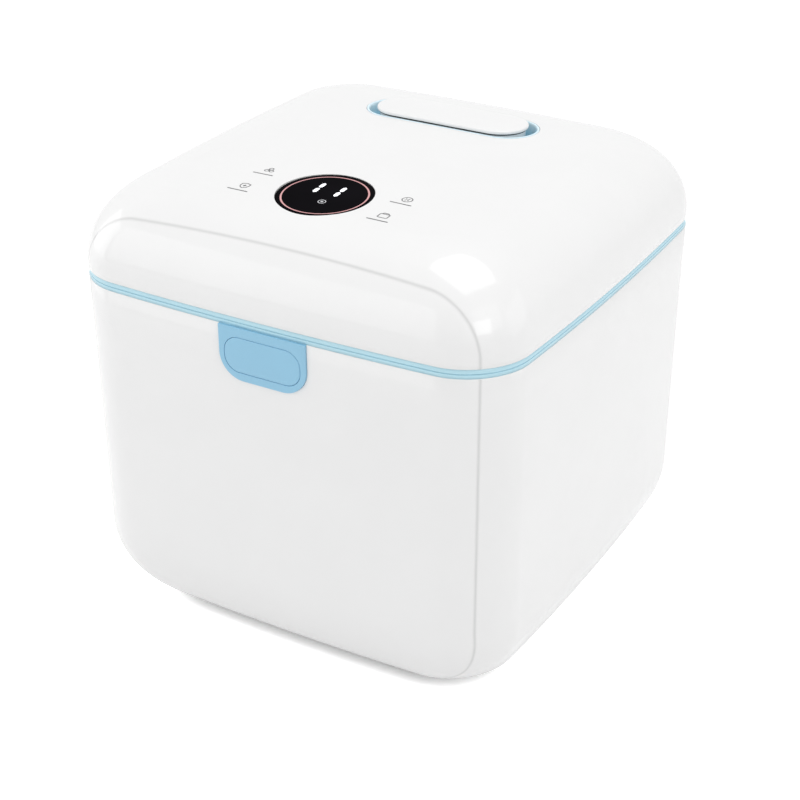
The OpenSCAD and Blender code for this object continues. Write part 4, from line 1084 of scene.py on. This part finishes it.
@dataclass
class LatchPanel:
    """The blue tab and the release button in it.

    Sizes are in millimetres.
    """

    tab: TabForm = field(default_factory=TabForm)
    button: ButtonForm = field(default_factory=ButtonForm)
    face: float = -141.1
    pocket: float = -139.2
    sleeve_back: float = -130.0
    proud: float = 0.25
    crown: float = 0.35
    edge: float = 0.8
    collar_front: float = -129.8
    collar_back: float = -128.4
    stem_front: float = -136.0

    def build_tab(self) -> bpy.types.Object:
        """The tab with its button opening.

        Returns:
            The tab.
        """
        start, count = (self.tab.w / 2, self.button.z), 240
        outline = resample(self.tab.outline(0.0), count, start)
        hole = resample(self.button.outline(0.2), count, start)
        if (signed_area(outline) > 0) != (signed_area(hole) > 0):
            hole = [hole[0]] + hole[:0:-1]
        return soft_plate("latch_tab", outline, hole, self.face, self.pocket, 0.3, 0.2)

    def build_sleeve(self) -> bpy.types.Object:
        """The sleeve that guides the button behind the tab.

        Returns:
            The sleeve.
        """
        outer, inner = self.button.outline(2.2), self.button.outline(0.3)
        rings = [upright(outer, self.pocket), upright(outer, self.sleeve_back)]
        rings += [upright(inner, self.sleeve_back), upright(inner, self.pocket)]
        return harden(loft("latch_sleeve", rings, True), 40)

    def build_button(self) -> bpy.types.Object:
        """The button cap with its rear collar and stem.

        Returns:
            The button.
        """
        outline, mid = self.button.outline(0.0), self.button.z
        face = self.face - self.proud
        rings = []
        for k in (0.2, 0.55, 0.8):
            inner = [(x * k, mid + (z - mid) * k) for x, z in outline]
            rings.append(upright(inner, face - self.crown * (1 - k * k) + 0.1))
        for u, v in rounding(6):
            rings.append(upright(shrink(outline, self.edge * v), face + 0.1 + self.edge * u))
        collar, stem = self.button.outline(1.5), self.button.outline(-2.0)
        rings += [upright(shape, self.collar_front) for shape in (outline, collar)]
        rings += [upright(shape, self.collar_back) for shape in (collar, stem)]
        rings.append(upright(stem, self.stem_front))
        return harden(loft("release_cap", rings), 40)

    def assemble(self) -> None:
        """Builds and places the tab, its sleeve and the button."""
        seat(self.build_tab(), Body.HOUSING, Finishes.blue, ["latch_bezel"])
        seat(self.build_sleeve(), Body.HOUSING, Finishes.blue)
        seat(self.build_button(), Body.BUTTON, Finishes.blue, ["release_button"])


@dataclass
class LatchSpring:
    """The coil spring behind the latch lever, which shortens as the button goes in.

    Sizes are in millimetres.
    """

    z: float = 200.1
    front: float = -122.95
    back: float = -114.65
    r: float = 3.4
    wire: float = 0.4
    turns: int = 6
    closed: float = 0.9
    travel: float = 2.5

    def advance(self, turn: float) -> float:
        """How far along the spring a turn lies, with its end turns closed up.

        Args:
            turn: turns from the front end.

        Returns:
            The distance along Y.
        """
        pitch = 2.1 * self.wire
        ends = self.closed * pitch
        free = (self.back - self.front - 2 * ends) / (self.turns - 2 * self.closed)
        if turn < self.closed:
            return self.front + turn * pitch
        if turn > self.turns - self.closed:
            return self.back - (self.turns - turn) * pitch
        return self.front + ends + (turn - self.closed) * free

    def build(self) -> bpy.types.Object:
        """Sweeps the wire round the coil.

        Returns:
            The spring.
        """
        steps = 30 * self.turns
        rings = []
        for k in range(steps + 1):
            a = 2 * math.pi * self.turns * k / steps
            y = self.advance(self.turns * k / steps)
            section = circle(self.r, y, self.wire, 10)
            rings.append([(out * math.cos(a), along, self.z + out * math.sin(a)) for out, along in section])
        return harden(loft("latch_coil", rings), 50)

    def assemble(self) -> None:
        """Builds the spring and gives it a mesh of its own."""
        coil = seat(self.build(), Body.HOUSING, Finishes.wire, ["latch_spring"])
        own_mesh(coil)


@dataclass
class SeamBands:
    """The two blue bands at the seam and the deck inside the lower one.

    Sizes are in millimetres.
    """

    plan: Plan = field(default_factory=Plan)
    half: float = 140.0
    corner: float = 35.0
    inset: float = 0.4
    low: float = 216.0
    rim_top: float = 218.2
    lid_base: float = 218.7
    lid_top: float = 221.3
    tongue_top: float = 224.5
    edge: float = 0.25
    edge_steps: int = 4
    skirt: Point2 = (3.3, 5.5)
    skirt_low: float = 207.0
    tongue: Point2 = (3.1, 6.1)
    flange: Point2 = (117.9, 38.3)
    chamber: Point2 = (111.8, 32.2)

    def ring(self, inset: float, z: float) -> list[Point3]:
        """One section of a band, set in from the wall."""
        return self.plan.ring(self.half - inset, self.corner - inset, z)

    def square(self, half: float, r: float, z: float) -> list[Point3]:
        """A plain rounded square with the plan's point count."""
        return Plan(self.plan.half, 0.0, self.plan.corner_steps, self.plan.side_steps).ring(half, r, z)

    def build_lower(self) -> bpy.types.Object:
        """The body's band, its deck round the chamber and its skirt.

        Returns:
            The band.
        """
        out, back = self.skirt
        deck = self.rim_top - 1.0
        rings = [self.ring(out, self.skirt_low), self.ring(out, self.low), self.ring(self.inset, self.low)]
        for u, v in rounding(self.edge_steps):
            rings.append(self.ring(self.inset + self.edge * u, self.rim_top - self.edge * v))
        for inwards, up in ((0.45, 0), (0.5, 0.36), (2.2, 0.36), (2.3, 0)):
            rings.append(self.ring(self.inset + inwards, self.rim_top + up))
        rings += [self.square(*self.flange, z) for z in (self.rim_top, deck)]
        rings += [self.square(*self.chamber, z) for z in (deck, self.low)]
        rings += [self.ring(back, self.low), self.ring(back, self.skirt_low)]
        band = loft("body_band", rings, True)
        latch = brick("cut_latch", (-10, -134, 200), (10, -118.3, 230))
        tab_back = brick("cut_tab_back", (-27.5, -141, 205.0), (27.5, -120, 216.0))
        carve(band, [latch, HingeRoom().bracket(), HingeRoom().knuckle(), tab_back])
        return band

    def build_upper(self) -> bpy.types.Object:
        """The lid's band with its tongue.

        Returns:
            The band.
        """
        out, back = self.tongue
        rings = []
        for u, v in rounding(self.edge_steps):
            rings.append(self.ring(self.inset + self.edge * v, self.lid_base + self.edge * u))
        rings += [self.ring(self.inset, self.lid_top), self.ring(out, self.lid_top)]
        rings += [self.ring(inset, self.tongue_top) for inset in self.tongue]
        rings.append(self.ring(back, self.lid_base))
        band = loft("lid_band", rings, True)
        carve(band, [HingeRoom().knuckle(), HingeRoom().leaf(128.0, 217.0, 231.0)])
        return band

    def assemble(self) -> None:
        """Builds and places both bands."""
        seat(self.build_lower(), Body.HOUSING, Finishes.blue_light, ["rim_frame"])
        seat(self.build_upper(), Body.LID, Finishes.blue_light, ["lid_trim"])


@dataclass
class LidSkin:
    """The white lid shell and its crown.

    Sizes are in millimetres.
    """

    plan: Plan = field(default_factory=Plan)
    half: float = 140.0
    corner: float = 35.0
    low: float = 221.3
    skirt: float = 3.6
    inset: float = 46.0
    rise: float = 46.5
    top_corner: float = 25.0
    slope: float = 3.4
    wall: float = 2.8
    edge: float = 0.35
    fillet_steps: int = 28
    crown_steps: int = 14
    display_y: float = -76.0
    display_r: float = 27.0
    handle_y: float = 66.0

    @property
    def fillet_end(self) -> float:
        """Angle at which the rounding meets the crown."""
        return math.atan(self.rise / (self.inset * math.tan(math.radians(self.slope))))

    @property
    def crown_half(self) -> float:
        """Half width of the crown."""
        return self.half - self.inset * (1 - math.cos(self.fillet_end))

    @property
    def crown_rise(self) -> float:
        """Height of the crown."""
        return self.crown_half * math.tan(math.radians(self.slope)) / 2

    @property
    def edge_z(self) -> float:
        """Height of the crown's edge."""
        return self.low + self.skirt + self.rise * math.sin(self.fillet_end)

    def height(self, y: float) -> float:
        """Height of the lid over its middle line, at a distance behind the middle."""
        return self.edge_z + self.crown_rise * (1 - (y / self.crown_half) ** 2)

    def place(self, y: float) -> Matrix:
        """The matrix that puts a piece drawn in millimetres on the lid, square to it."""
        tilt = -math.atan(2 * self.crown_rise * y / self.crown_half**2)
        return Matrix.Translation((0, y, self.height(y))) @ Matrix.Rotation(tilt, 4, "X")

    def surface_height(self, y: float) -> float:
        """Height of the middle line, on the crown and on the rounding in front of it.

        Args:
            y: distance behind the middle.

        Returns:
            The height.
        """
        if abs(y) < self.crown_half:
            return self.height(y)
        return self.low + self.skirt + self.rise * math.sin(math.acos(1 - (self.half - abs(y)) / self.inset))

    def chord(self) -> Matrix:
        """The matrix that lays a piece on the chord across the display.

        Returns:
            The matrix, for points in millimetres.
        """
        y, reach = self.display_y, self.display_r
        front, rear = self.surface_height(y - reach), self.surface_height(y + reach)
        tilt = math.atan((rear - front) / (2 * reach))
        return Matrix.Translation((0, y, (front + rear) / 2)) @ Matrix.Rotation(tilt, 4, "X")

    def sections(self, t: float) -> list[tuple[float, float, float]]:
        """Half width, corner radius and height of each section, from the seam up.

        Args:
            t: how far the surface lies inside the outer one.

        Returns:
            The sections.
        """
        start = self.low + self.skirt
        end = self.fillet_end
        rows = [(self.half - t, self.corner - t, self.low)]
        for k in range(self.fillet_steps + 1):
            a = end * k / self.fillet_steps
            u = 1 - math.cos(a)
            r = self.corner * (1 - u) + self.top_corner * u
            rows.append((self.half - t - (self.inset - t) * u, r - t, start + (self.rise - t) * math.sin(a)))
        a_end, r_end, z_end = rows[-1]
        for k in range(1, self.crown_steps + 1):
            f = 1 - k / (self.crown_steps + 0.5)
            a = a_end * f
            rows.append((a, a * (1 - (1 - r_end / a_end) * f), z_end + self.crown_rise * (1 - f * f)))
        return rows

    def build(self) -> bpy.types.Object:
        """Makes the shell and cuts its openings.

        Returns:
            The shell.
        """
        outer = self.sections(0.0)
        inner = self.sections(self.wall)
        outer[0] = (self.half, self.corner, self.low + self.edge)
        rows = [(self.half - self.edge, self.corner - self.edge, self.low)] + outer
        points, faces = bridge([self.plan.ring(*row) for row in rows], close_ends=False)
        inside, inside_faces = bridge([self.plan.ring(*row) for row in inner], close_ends=False)
        offset, count = len(points), len(points) // len(rows)
        faces.append(tuple(range(offset - count, offset)))
        inside_faces.append(tuple(range(len(inside) - count, len(inside))))
        points += inside
        faces += [tuple(offset + i for i in face) for face in inside_faces]
        faces += [(i, (i + 1) % count, offset + (i + 1) % count, offset + i) for i in range(count)]
        shell = new_mesh("lid_skin", points, faces)
        self.surface = search_tree(shell.data)
        carve(shell, self.cutters())
        return shell

    def cutters(self) -> list[bpy.types.Object]:
        """The tools for the display, the handle and the hinge.

        Returns:
            The cutters.
        """
        cup = prism_z("cut_cup", HandleForm().outline(6.9 + 0.25, 2.5 + 0.25), -20.0, 10.0)
        return [
            lay(disc("cut_window", self.display_r + 0.2, -1.85, 6.0), self.chord()),
            lay(disc("cut_light", 24.8, -12.0, 2.0), self.chord()),
            lay(cup, self.place(self.handle_y)),
            HingeRoom().knuckle(),
            HingeRoom().leaf(132.0, 220.0, 223.95),
        ]

    def drop(self, x: float, y: float) -> float:
        """Height of the lid's outer surface at a spot, in millimetres."""
        hit, _, _, _ = self.surface.ray_cast(Vector((x * MM, y * MM, 0.4)), Vector((0, 0, -1)))
        return hit.z / MM


def lay(piece: bpy.types.Object, place: Matrix) -> bpy.types.Object:
    """Moves a piece's mesh by a matrix that is written for millimetres.

    Args:
        piece: the object, in metres.
        place: the matrix, in millimetres.

    Returns:
        The same object.
    """
    metres = place.copy()
    metres.translation = place.translation * MM
    piece.data.transform(metres)
    return piece


@dataclass(frozen=True)
class HandleForm:
    """The stadium that the handle bar and its cup share, in millimetres."""

    length: float = 98.0
    depth: float = 35.0

    def outline(self, grow_l: float, grow_d: float, steps: int = 28) -> list[Point2]:
        """The stadium, grown at each end by grow_l and at each side by grow_d."""
        w, h = self.length + 2 * grow_l, self.depth + 2 * grow_d
        return rounded_outline(0.0, 0.0, w, h, h / 2 - 0.01, steps)


@dataclass
class Handle:
    """The pull-up bar, the dark ring under its cap that paints the shadow line there, and the blue cup that
    it sits in.

    Sizes are in millimetres.
    """

    lid: LidSkin
    form: HandleForm = field(default_factory=HandleForm)
    bar_top: float = 2.4
    bar_low: float = -9.5
    bar_foot: float = 1.2
    bar_edge: float = 1.1
    cap_low: float = 0.3
    neck: float = 1.6
    shadow_ring_high: float = 1.0
    end_gap: float = 5.2
    side_gap: float = 0.8
    wall: float = 1.7
    lip: float = 1.0
    ledge: float = 1.3
    rim: float = 0.25
    cup_foot: float = 3.0

    def sections(self, name: str, rows: Sequence[Point3], loop: bool = False) -> bpy.types.Object:
        """Joins stadium sections, given as growth along, growth across and height."""
        piece = loft(name, [flat(self.form.outline(along, across), z) for along, across, z in rows], loop)
        return lay(harden(piece, 38), self.lid.place(self.lid.handle_y))

    def build_bar(self) -> bpy.types.Object:
        """The white bar: a flat cap with a soft edge over a narrower grip.

        Returns:
            The bar.
        """
        low, foot, edge = self.bar_low, self.bar_foot, self.bar_edge
        rows = [(-18.0, -5.2, low + 4.5), (-18.0, -5.2, low)]
        rows += [(*[-self.neck - foot * v] * 2, low + foot * u) for u, v in rounding(4)]
        rows += [(-inset, -inset, self.cap_low) for inset in (self.neck, 0.2)]
        rows.append((0.0, 0.0, self.cap_low + 0.2))
        rows += [(-edge * u, -edge * u, self.bar_top - edge * v) for u, v in rounding(8)]
        rows += [(-inset, -inset, self.bar_top) for inset in (6.0, 12.0)]
        return self.sections("grip_bar", rows)

    def build_shadow_ring(self) -> bpy.types.Object:
        """The thin dark ring under the cap's overhang, a dark piece that paints the shadow line of the gap
        there.

        Returns:
            The ring.
        """
        out, back = 0.5 - self.neck, -0.3 - self.neck
        high, low = self.cap_low - 0.02, self.cap_low - self.shadow_ring_high
        rows = [(out, out, high), (out, out, low), (back, back, low), (back, back, high)]
        return self.sections("grip_shadow_ring", rows, True)

    def build_cup(self) -> bpy.types.Object:
        """The blue cup: a rounded rim, a dished inside and a floor.

        Returns:
            The cup.
        """
        floor, top, foot, rim, dish_steps = self.bar_low - 1.6, -0.1, self.cup_foot, self.rim, 8
        out_l, out_d = self.end_gap + self.wall, self.side_gap + self.wall
        rows = [(out_l, out_d, floor + 1.0)]
        rows += [(out_l - rim * u, out_d - rim * u, top - rim * v) for u, v in rounding(4)]
        for i in range(1, dish_steps + 1):
            inwards = self.lip + (self.wall - self.lip) * i / dish_steps
            rows.append((out_l - inwards, out_d - inwards, top - self.ledge * (i / dish_steps) ** 2.2))
        for u, v in rounding(6):
            rows.append((self.end_gap - foot * u, self.side_gap - foot * u, floor + foot * v))
        rows += [(-16.4, -16.4, floor), (-16.4, -16.4, floor - 2), (out_l - 2, out_d - 2, floor - 2)]
        return self.sections("grip_cup", rows, True)

    def assemble(self) -> None:
        """Builds and places the bar, the dark ring of painted shadow under its cap, and the cup."""
        seat(self.build_bar(), Body.HANDLE, Finishes.white_bar, ["handle_bar"])
        # The dark ring stands in for the shadow under the cap: painted shade.
        seat(self.build_shadow_ring(), Body.HANDLE, Finishes.dark)
        seat(self.build_cup(), Body.LID, Finishes.blue_cup, ["handle_cup"])


@dataclass
class Display:
    """The round touch window, its light ring, its digits and the symbols round it.

    Sizes are in millimetres.
    """

    lid: LidSkin
    thick: float = 1.5
    sink: float = 0.12
    edge: float = 0.4
    ring_r: float = 23.8
    ring_half: float = 0.5
    groove_half: float = 0.6
    groove: float = 0.9
    crown: float = 0.25
    mark_up: float = 0.03
    mark_high: float = 0.08
    digit_x: Point2 = (-7.6, 5.6)
    digit_y: Point2 = (9.9, 3.3)
    dot_spot: Point2 = (3.3, -8.2)
    symbols: tuple[tuple[Symbol, Point2], ...] = (
        (Symbol.DROPS, (-44.7, -62.0)),
        (Symbol.SHIELD, (-45.0, -86.2)),
        (Symbol.RING, (43.2, -62.3)),
        (Symbol.BOX, (42.6, -85.7)),
    )

    def build_window(self) -> bpy.types.Object:
        """The dark window with a rounded edge and a groove for the ring.

        Returns:
            The window.
        """
        r, top, edge = self.lid.display_r, -self.sink, self.edge
        out, back = self.ring_r + self.groove_half, self.ring_r - self.groove_half
        profile = [(0.0, top - self.thick), (r, top - self.thick)]
        profile += [(r - edge * u, top - edge * v) for u, v in rounding(4)]
        profile += [(out, top), (out, top - self.groove), (back, top - self.groove), (back, top), (0.0, top)]
        return lay(turned("window", profile), self.lid.chord())

    def build_ring(self) -> bpy.types.Object:
        """The light guide in the window's groove, with a low round top.

        Returns:
            The light guide.
        """
        steps, half, top = 8, self.ring_half, -self.sink - 0.02
        profile = [(self.ring_r + half, top - 0.8), (self.ring_r + half, top - self.crown)]
        for i in range(1, steps):
            t = math.pi * i / steps
            profile.append((self.ring_r + half * math.cos(t), top - self.crown + self.crown * math.sin(t)))
        profile += [(self.ring_r - half, top - self.crown), (self.ring_r - half, top - 0.8)]
        return lay(turned("light_ring", profile), self.lid.chord())

    def segment(self, x: float, y: float) -> list[Point2]:
        """One upright bar of a digit, with pointed ends.

        Args:
            x: its middle.
            y: its middle.

        Returns:
            The outline.
        """
        half, w = 3.0, 1.2
        raw = [(0, -half), (w, -half + w), (w, half - w), (0, half), (-w, half - w), (-w, -half + w)]
        return [(x + px, y + py) for px, py in raw]

    def flat_marks(self, name: str, outlines: Iterable) -> bpy.types.Object:
        """Thin raised marks on the window, from outlines or pairs of outer and inner ones."""
        mesh = marks_mesh(outlines, self.mark_up - self.sink, self.mark_high)
        return lay(new_mesh(name, *mesh), self.lid.chord())

    def build_digits(self) -> bpy.types.Object:
        """The two digits one and one, as lit segments just over the window."""
        return self.flat_marks("digits", [self.segment(x, y) for x in self.digit_x for y in self.digit_y])

    def build_dot(self) -> bpy.types.Object:
        """The small lit symbol under the digits: a ring with a dot."""
        ring = stroke(circle(*self.dot_spot, 2.1, 32), 0.42, True)
        return self.flat_marks("lit_symbol", [ring, circle(*self.dot_spot, 0.8, 20)])

    def build_symbols(self) -> bpy.types.Object:
        """The four touch symbols, each with a plain bar in front, laid on the crown.

        Returns:
            The symbols.
        """
        marks: list = []
        for kind, (x, y) in self.symbols:
            marks += symbol(kind, x, y)
            marks.append(rounded_outline(x - 0.6, y - 6.2, 13.0, 0.8, 0.39, 5))
        points, faces = marks_mesh(marks, 0.0, 0.05)
        draped = [(x, y, self.lid.drop(x, y) + z + 0.015) for x, y, z in points]
        return new_mesh("touch_symbols", draped, faces)

    def assemble(self) -> None:
        """Builds and places the window, ring, digits and symbols."""
        seat(self.build_window(), Body.LID, Finishes.window, ["display_window"])
        seat(self.build_ring(), Body.LID, Finishes.ring, ["glow_ring"])
        seat(self.build_digits(), Body.LID, Finishes.digit)
        seat(self.build_dot(), Body.LID, Finishes.dot)
        seat(self.build_symbols(), Body.LID, Finishes.mark)


def stroke(
    path: Sequence[Point2], width: float, closed: bool = False
) -> tuple[list[Point2], list[Point2]] | list[Point2]:
    """Turns a path into a line of some width.

    Args:
        path: the points.
        width: the line's width.
        closed: whether the path is a loop.

    Returns:
        Outer and inner outlines of a loop, or the outline of an open line.
    """
    if closed:
        return shrink(path, -width / 2), shrink(path, width / 2)
    left, right = [], []
    for i, point in enumerate(path):
        before, after = Vector(path[max(i - 1, 0)]), Vector(path[min(i + 1, len(path) - 1)])
        along = (after - before).normalized()
        side = Vector((-along.y, along.x)) * width / 2
        left.append((point[0] + side.x, point[1] + side.y))
        right.append((point[0] - side.x, point[1] - side.y))
    return right + left[::-1]


def symbol(kind: Symbol, x: float, y: float) -> list:
    """A plain touch symbol.

    Args:
        kind: which one.
        x: its middle.
        y: its middle.

    Returns:
        Closed outlines, or pairs of outer and inner outlines.
    """
    line = 0.55
    if kind is Symbol.DROPS:
        angles = (QUARTER, math.pi * 7 / 6, math.pi * 11 / 6)
        spots = [(x + 1.75 * math.cos(t), y + 1.75 * math.sin(t)) for t in angles]
        return [stroke(circle(*spot, 1.25, 20), line, True) for spot in spots]
    if kind is Symbol.RING:
        angles = [math.pi / 4 + QUARTER * i for i in range(4)]
        arms = [[(x + r * math.cos(t), y + r * math.sin(t)) for r in (0.5, 1.7)] for t in angles]
        return [stroke(circle(x, y, 2.9, 36), line, True)] + [stroke(arm, line) for arm in arms]
    if kind is Symbol.SHIELD:
        outline = [(x, y - 3.1), (x + 2.0, y - 1.7), (x + 2.7, y + 0.3), (x + 2.6, y + 2.2), (x, y + 3.0)]
        outline += [(x - 2.6, y + 2.2), (x - 2.7, y + 0.3), (x - 2.0, y - 1.7)]
        across, upwards = [(x - 1.1, y), (x + 1.1, y)], [(x, y - 1.1), (x, y + 1.1)]
        return [stroke(outline, line, True), stroke(across, line), stroke(upwards, line)]
    box = rounded_outline(x, y - 0.4, 5.8, 4.4, 0.8, 5)
    lid = [(x - 2.0, y + 1.9), (x - 1.4, y + 2.9), (x + 1.4, y + 2.9), (x + 2.0, y + 1.9)]
    return [stroke(box, line, True), stroke(lid, line)]


def marks_mesh(outlines: Iterable, z: float, height: float) -> tuple[list, list]:
    """Thin solids over outlines or over loops between two outlines.

    Args:
        outlines: closed outlines, or pairs of outer and inner outlines.
        z: their underside.
        height: their thickness.

    Returns:
        Points and faces.
    """
    points: list = []
    faces: list = []
    for item in outlines:
        if isinstance(item, tuple):
            outer, inner = item
            rings = [flat(outer, z), flat(outer, z + height), flat(inner, z + height), flat(inner, z)]
            some, made = bridge(rings, loop=True)
        else:
            some, made = bridge([flat(item, z), flat(item, z + height)])
        offset = len(points)
        points += some
        faces += [tuple(offset + i for i in face) for face in made]
    return points, faces


@dataclass
class Inside:
    """The pieces that keep their frame shape and only get a finish."""

    nodes: dict[str, bpy.types.Object]
    finishes: dict[str, AnyFinish] = field(
        default_factory=lambda: {
            "white_satin": Finishes.satin,
            "grey_rubber": Finishes.rubber,
            "screw_steel": Finishes.zinc,
            "pin_steel": Finishes.pin,
            "spring_wire": Finishes.wire,
            "chamber_steel": Finishes.chamber,
            "rack_wire": Finishes.wire,
            "zinc_sheet": Finishes.zinc,
            "mirror_sheet": Finishes.mirror,
            "heater_fins": Finishes.fins,
            "lamp_metal": Finishes.caps,
            "lamp_glass": Finishes.lamp,
            "guard_glass": Finishes.guard,
            "socket_ceramic": Finishes.ceramic,
            "dark_plastic": Finishes.dark,
            "grey_plastic": Finishes.grey,
            "black_parts": Finishes.black,
            "circuit_board": Finishes.board,
            "filter_foam": Finishes.foam,
            "white_gloss": Finishes.white,
            "blue_gloss": Finishes.blue,
            "display_black": Finishes.window,
            "ring_light": Finishes.ring,
        }
    )

    def assemble(self, subparts: Sequence[dict]) -> None:
        """Gives every frame node the finish of its slot.

        Args:
            subparts: the record's list of nodes and slots.
        """
        for part in subparts:
            node = self.nodes[part["node"]]
            finish = self.finishes[part["material_slot"]]
            if part["node"] == "lid_seal":
                finish = Finishes.seal
            dress(node, finish)
            log.info("%s is finished as %s", part["node"], finish.name)


@dataclass
class Studio:
    """Floor, light and camera.

    Lengths are in metres and angles in degrees.
    """

    eye: Point3 = (0.48128, -0.82263, 0.62037)
    yaw: float = 30.218
    pitch: float = 28.070
    roll: float = -0.094
    focal_px: float = 1766.52
    frame_px: float = 800.0
    look_at: Point3 = (0.0, 0.0, 0.14)
    floor_half: float = 30.0
    floor_colour: float = 0.82
    room_colour: float = 0.75
    # Reach and fade of the painted contact shadow on the floor.
    painted_shadow_reach: float = 0.009
    painted_shadow_fade: float = 1.4
    floor_glow: float = 0.9
    mirrored_glow: float = 0.36

    def seen(self, nodes: Nodes, mirrored: float) -> bpy.types.NodeSocket:
        """Tells camera, transmission and glossy rays from the rest.

        Args:
            nodes: the nodes of the floor or of the room.
            mirrored: what a glossy ray gives.

        Returns:
            One for a camera or transmission ray, mirrored for a glossy one and nought for the rest.
        """
        rays = nodes.add("ShaderNodeLightPath").outputs
        direct = nodes.math("MAXIMUM", rays["Is Camera Ray"], rays["Is Transmission Ray"])
        return nodes.math("MAXIMUM", direct, nodes.math("MULTIPLY", rays["Is Glossy Ray"], mirrored))

    def floor_material(self) -> bpy.types.Material:
        """Pale floor that reads as white to the camera and keeps the shadow, with a painted contact shadow
        where ambient occlusion dims its glow near the object.

        Returns:
            The material.
        """
        nodes = Nodes(bpy.data.materials.new("studio_floor"))
        plain = {"Base Color": (*[self.floor_colour] * 3, 1), "Roughness": 0.9, "Specular IOR Level": 0.1}
        nodes.feed(nodes.shader, plain)
        # Painted contact shadow: ambient occlusion takes the floor's glow away close to the object.
        near = nodes.add("ShaderNodeAmbientOcclusion", {"Distance": self.painted_shadow_reach}, samples=12)
        fade = nodes.math("POWER", near.outputs["AO"], self.painted_shadow_fade)
        open_floor = nodes.math("MULTIPLY", fade, self.floor_glow)
        strength = nodes.math("MULTIPLY", self.seen(nodes, self.mirrored_glow), open_floor)
        glow = nodes.add("ShaderNodeEmission", {"Color": (1, 1, 1, 1), "Strength": strength})
        shaders = {0: nodes.shader.outputs["BSDF"], 1: glow.outputs["Emission"]}
        total = nodes.add("ShaderNodeAddShader", shaders)
        nodes.feed(nodes.tree.nodes["Material Output"], {"Surface": total.outputs["Shader"]})
        return nodes.owner

    def build_floor(self) -> None:
        """A wide plain floor."""
        size = self.floor_half
        corners = [(-size, -size, 0), (size, -size, 0), (size, size, 0), (-size, size, 0)]
        mesh = bpy.data.meshes.new("floor")
        mesh.from_pydata(corners, [], [(0, 1, 2, 3)])
        floor = bpy.data.objects.new("floor", mesh)
        floor.data.materials.append(self.floor_material())
        bpy.context.scene.collection.objects.link(floor)

    def build_world(self) -> None:
        """A soft pale room that the camera sees as white."""
        world = bpy.data.worlds.new("room")
        bpy.context.scene.world = world
        nodes = Nodes(world, "Background")
        colour = nodes.mix(self.seen(nodes, 1.0), (*[self.room_colour] * 3, 1), (1, 1, 1, 1))
        nodes.feed(nodes.shader, {"Color": colour})

    def build_lamp(self, name: str, spot: Point3, size: Point2, power: float, turn: float = 0.0) -> None:
        """One soft box that faces the object.

        Args:
            name: its name.
            spot: where it stands.
            size: its width and height.
            power: its power in watts.
            turn: how far it is turned about its own axis.
        """
        light = bpy.data.lights.new(name, "AREA")
        light.shape = "RECTANGLE"
        light.size, light.size_y = size
        light.energy = power
        lamp = bpy.data.objects.new(name, light)
        lamp.location = spot
        facing = (Vector(self.look_at) - Vector(spot)).to_track_quat("-Z", "Y").to_matrix()
        lamp.rotation_euler = (facing @ Matrix.Rotation(math.radians(turn), 3, "Z")).to_euler()
        bpy.context.scene.collection.objects.link(lamp)

    def build_camera(self) -> None:
        """The camera, at the photograph's place."""
        yaw, pitch, roll = (math.radians(a) for a in (self.yaw, self.pitch, self.roll))
        back = Vector((math.sin(yaw) * math.cos(pitch), -math.cos(yaw) * math.cos(pitch), math.sin(pitch)))
        right = Vector((math.cos(yaw), math.sin(yaw), 0))
        up = back.cross(right)
        across = right * math.cos(roll) + up * math.sin(roll)
        upright = up * math.cos(roll) - right * math.sin(roll)
        data = bpy.data.cameras.new("camera")
        data.sensor_width = 36.0
        data.sensor_fit = "HORIZONTAL"
        data.lens = self.focal_px / self.frame_px * data.sensor_width
        data.clip_end = 100.0
        camera = bpy.data.objects.new("camera", data)
        camera.matrix_world = Matrix((across, upright, back)).transposed().to_4x4()
        camera.location = self.eye
        bpy.context.scene.collection.objects.link(camera)
        bpy.context.scene.camera = camera

    def assemble(self) -> None:
        """Builds floor, room, lamps and camera."""
        self.build_floor()
        self.build_world()
        self.build_lamp("top_box", (0.15, 0.14, 1.75), (1.1, 1.05), 6.2, 30.0)
        self.build_lamp("right_window", (1.34, -0.86, 0.96), (0.65, 0.55), 2.4)
        self.build_lamp("right_fill", (1.7, -0.7, 1.5), (1.3, 1.2), 3.2)
        self.build_lamp("side_box", (1.9, 0.8, 0.8), (1.4, 1.2), 2.4)
        self.build_lamp("front_box", (-0.9, -1.5, 0.7), (1.2, 1.2), 3.6)
        self.build_lamp("left_box", (-1.8, -0.5, 0.6), (1.2, 1.2), 5.2)
        self.build_camera()
        bpy.context.scene.view_settings.view_transform = "Standard"


def main() -> None:
    """Builds the dressed model in order."""
    logging.basicConfig(level=logging.INFO, format="%(message)s")
    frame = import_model()
    Inside(frame["nodes"]).assemble(frame["record"]["subparts"])
    seat(HousingSkin().build(), Body.HOUSING, Finishes.white, ["body_shell"])
    lid = LidSkin()
    seat(lid.build(), Body.LID, Finishes.white, ["lid_shell"])
    SeamBands().assemble()
    LatchPanel().assemble()
    LatchSpring().assemble()
    Handle(lid).assemble()
    Display(lid).assemble()
    Studio().assemble()
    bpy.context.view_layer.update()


if __name__ == "__main__":
    main()
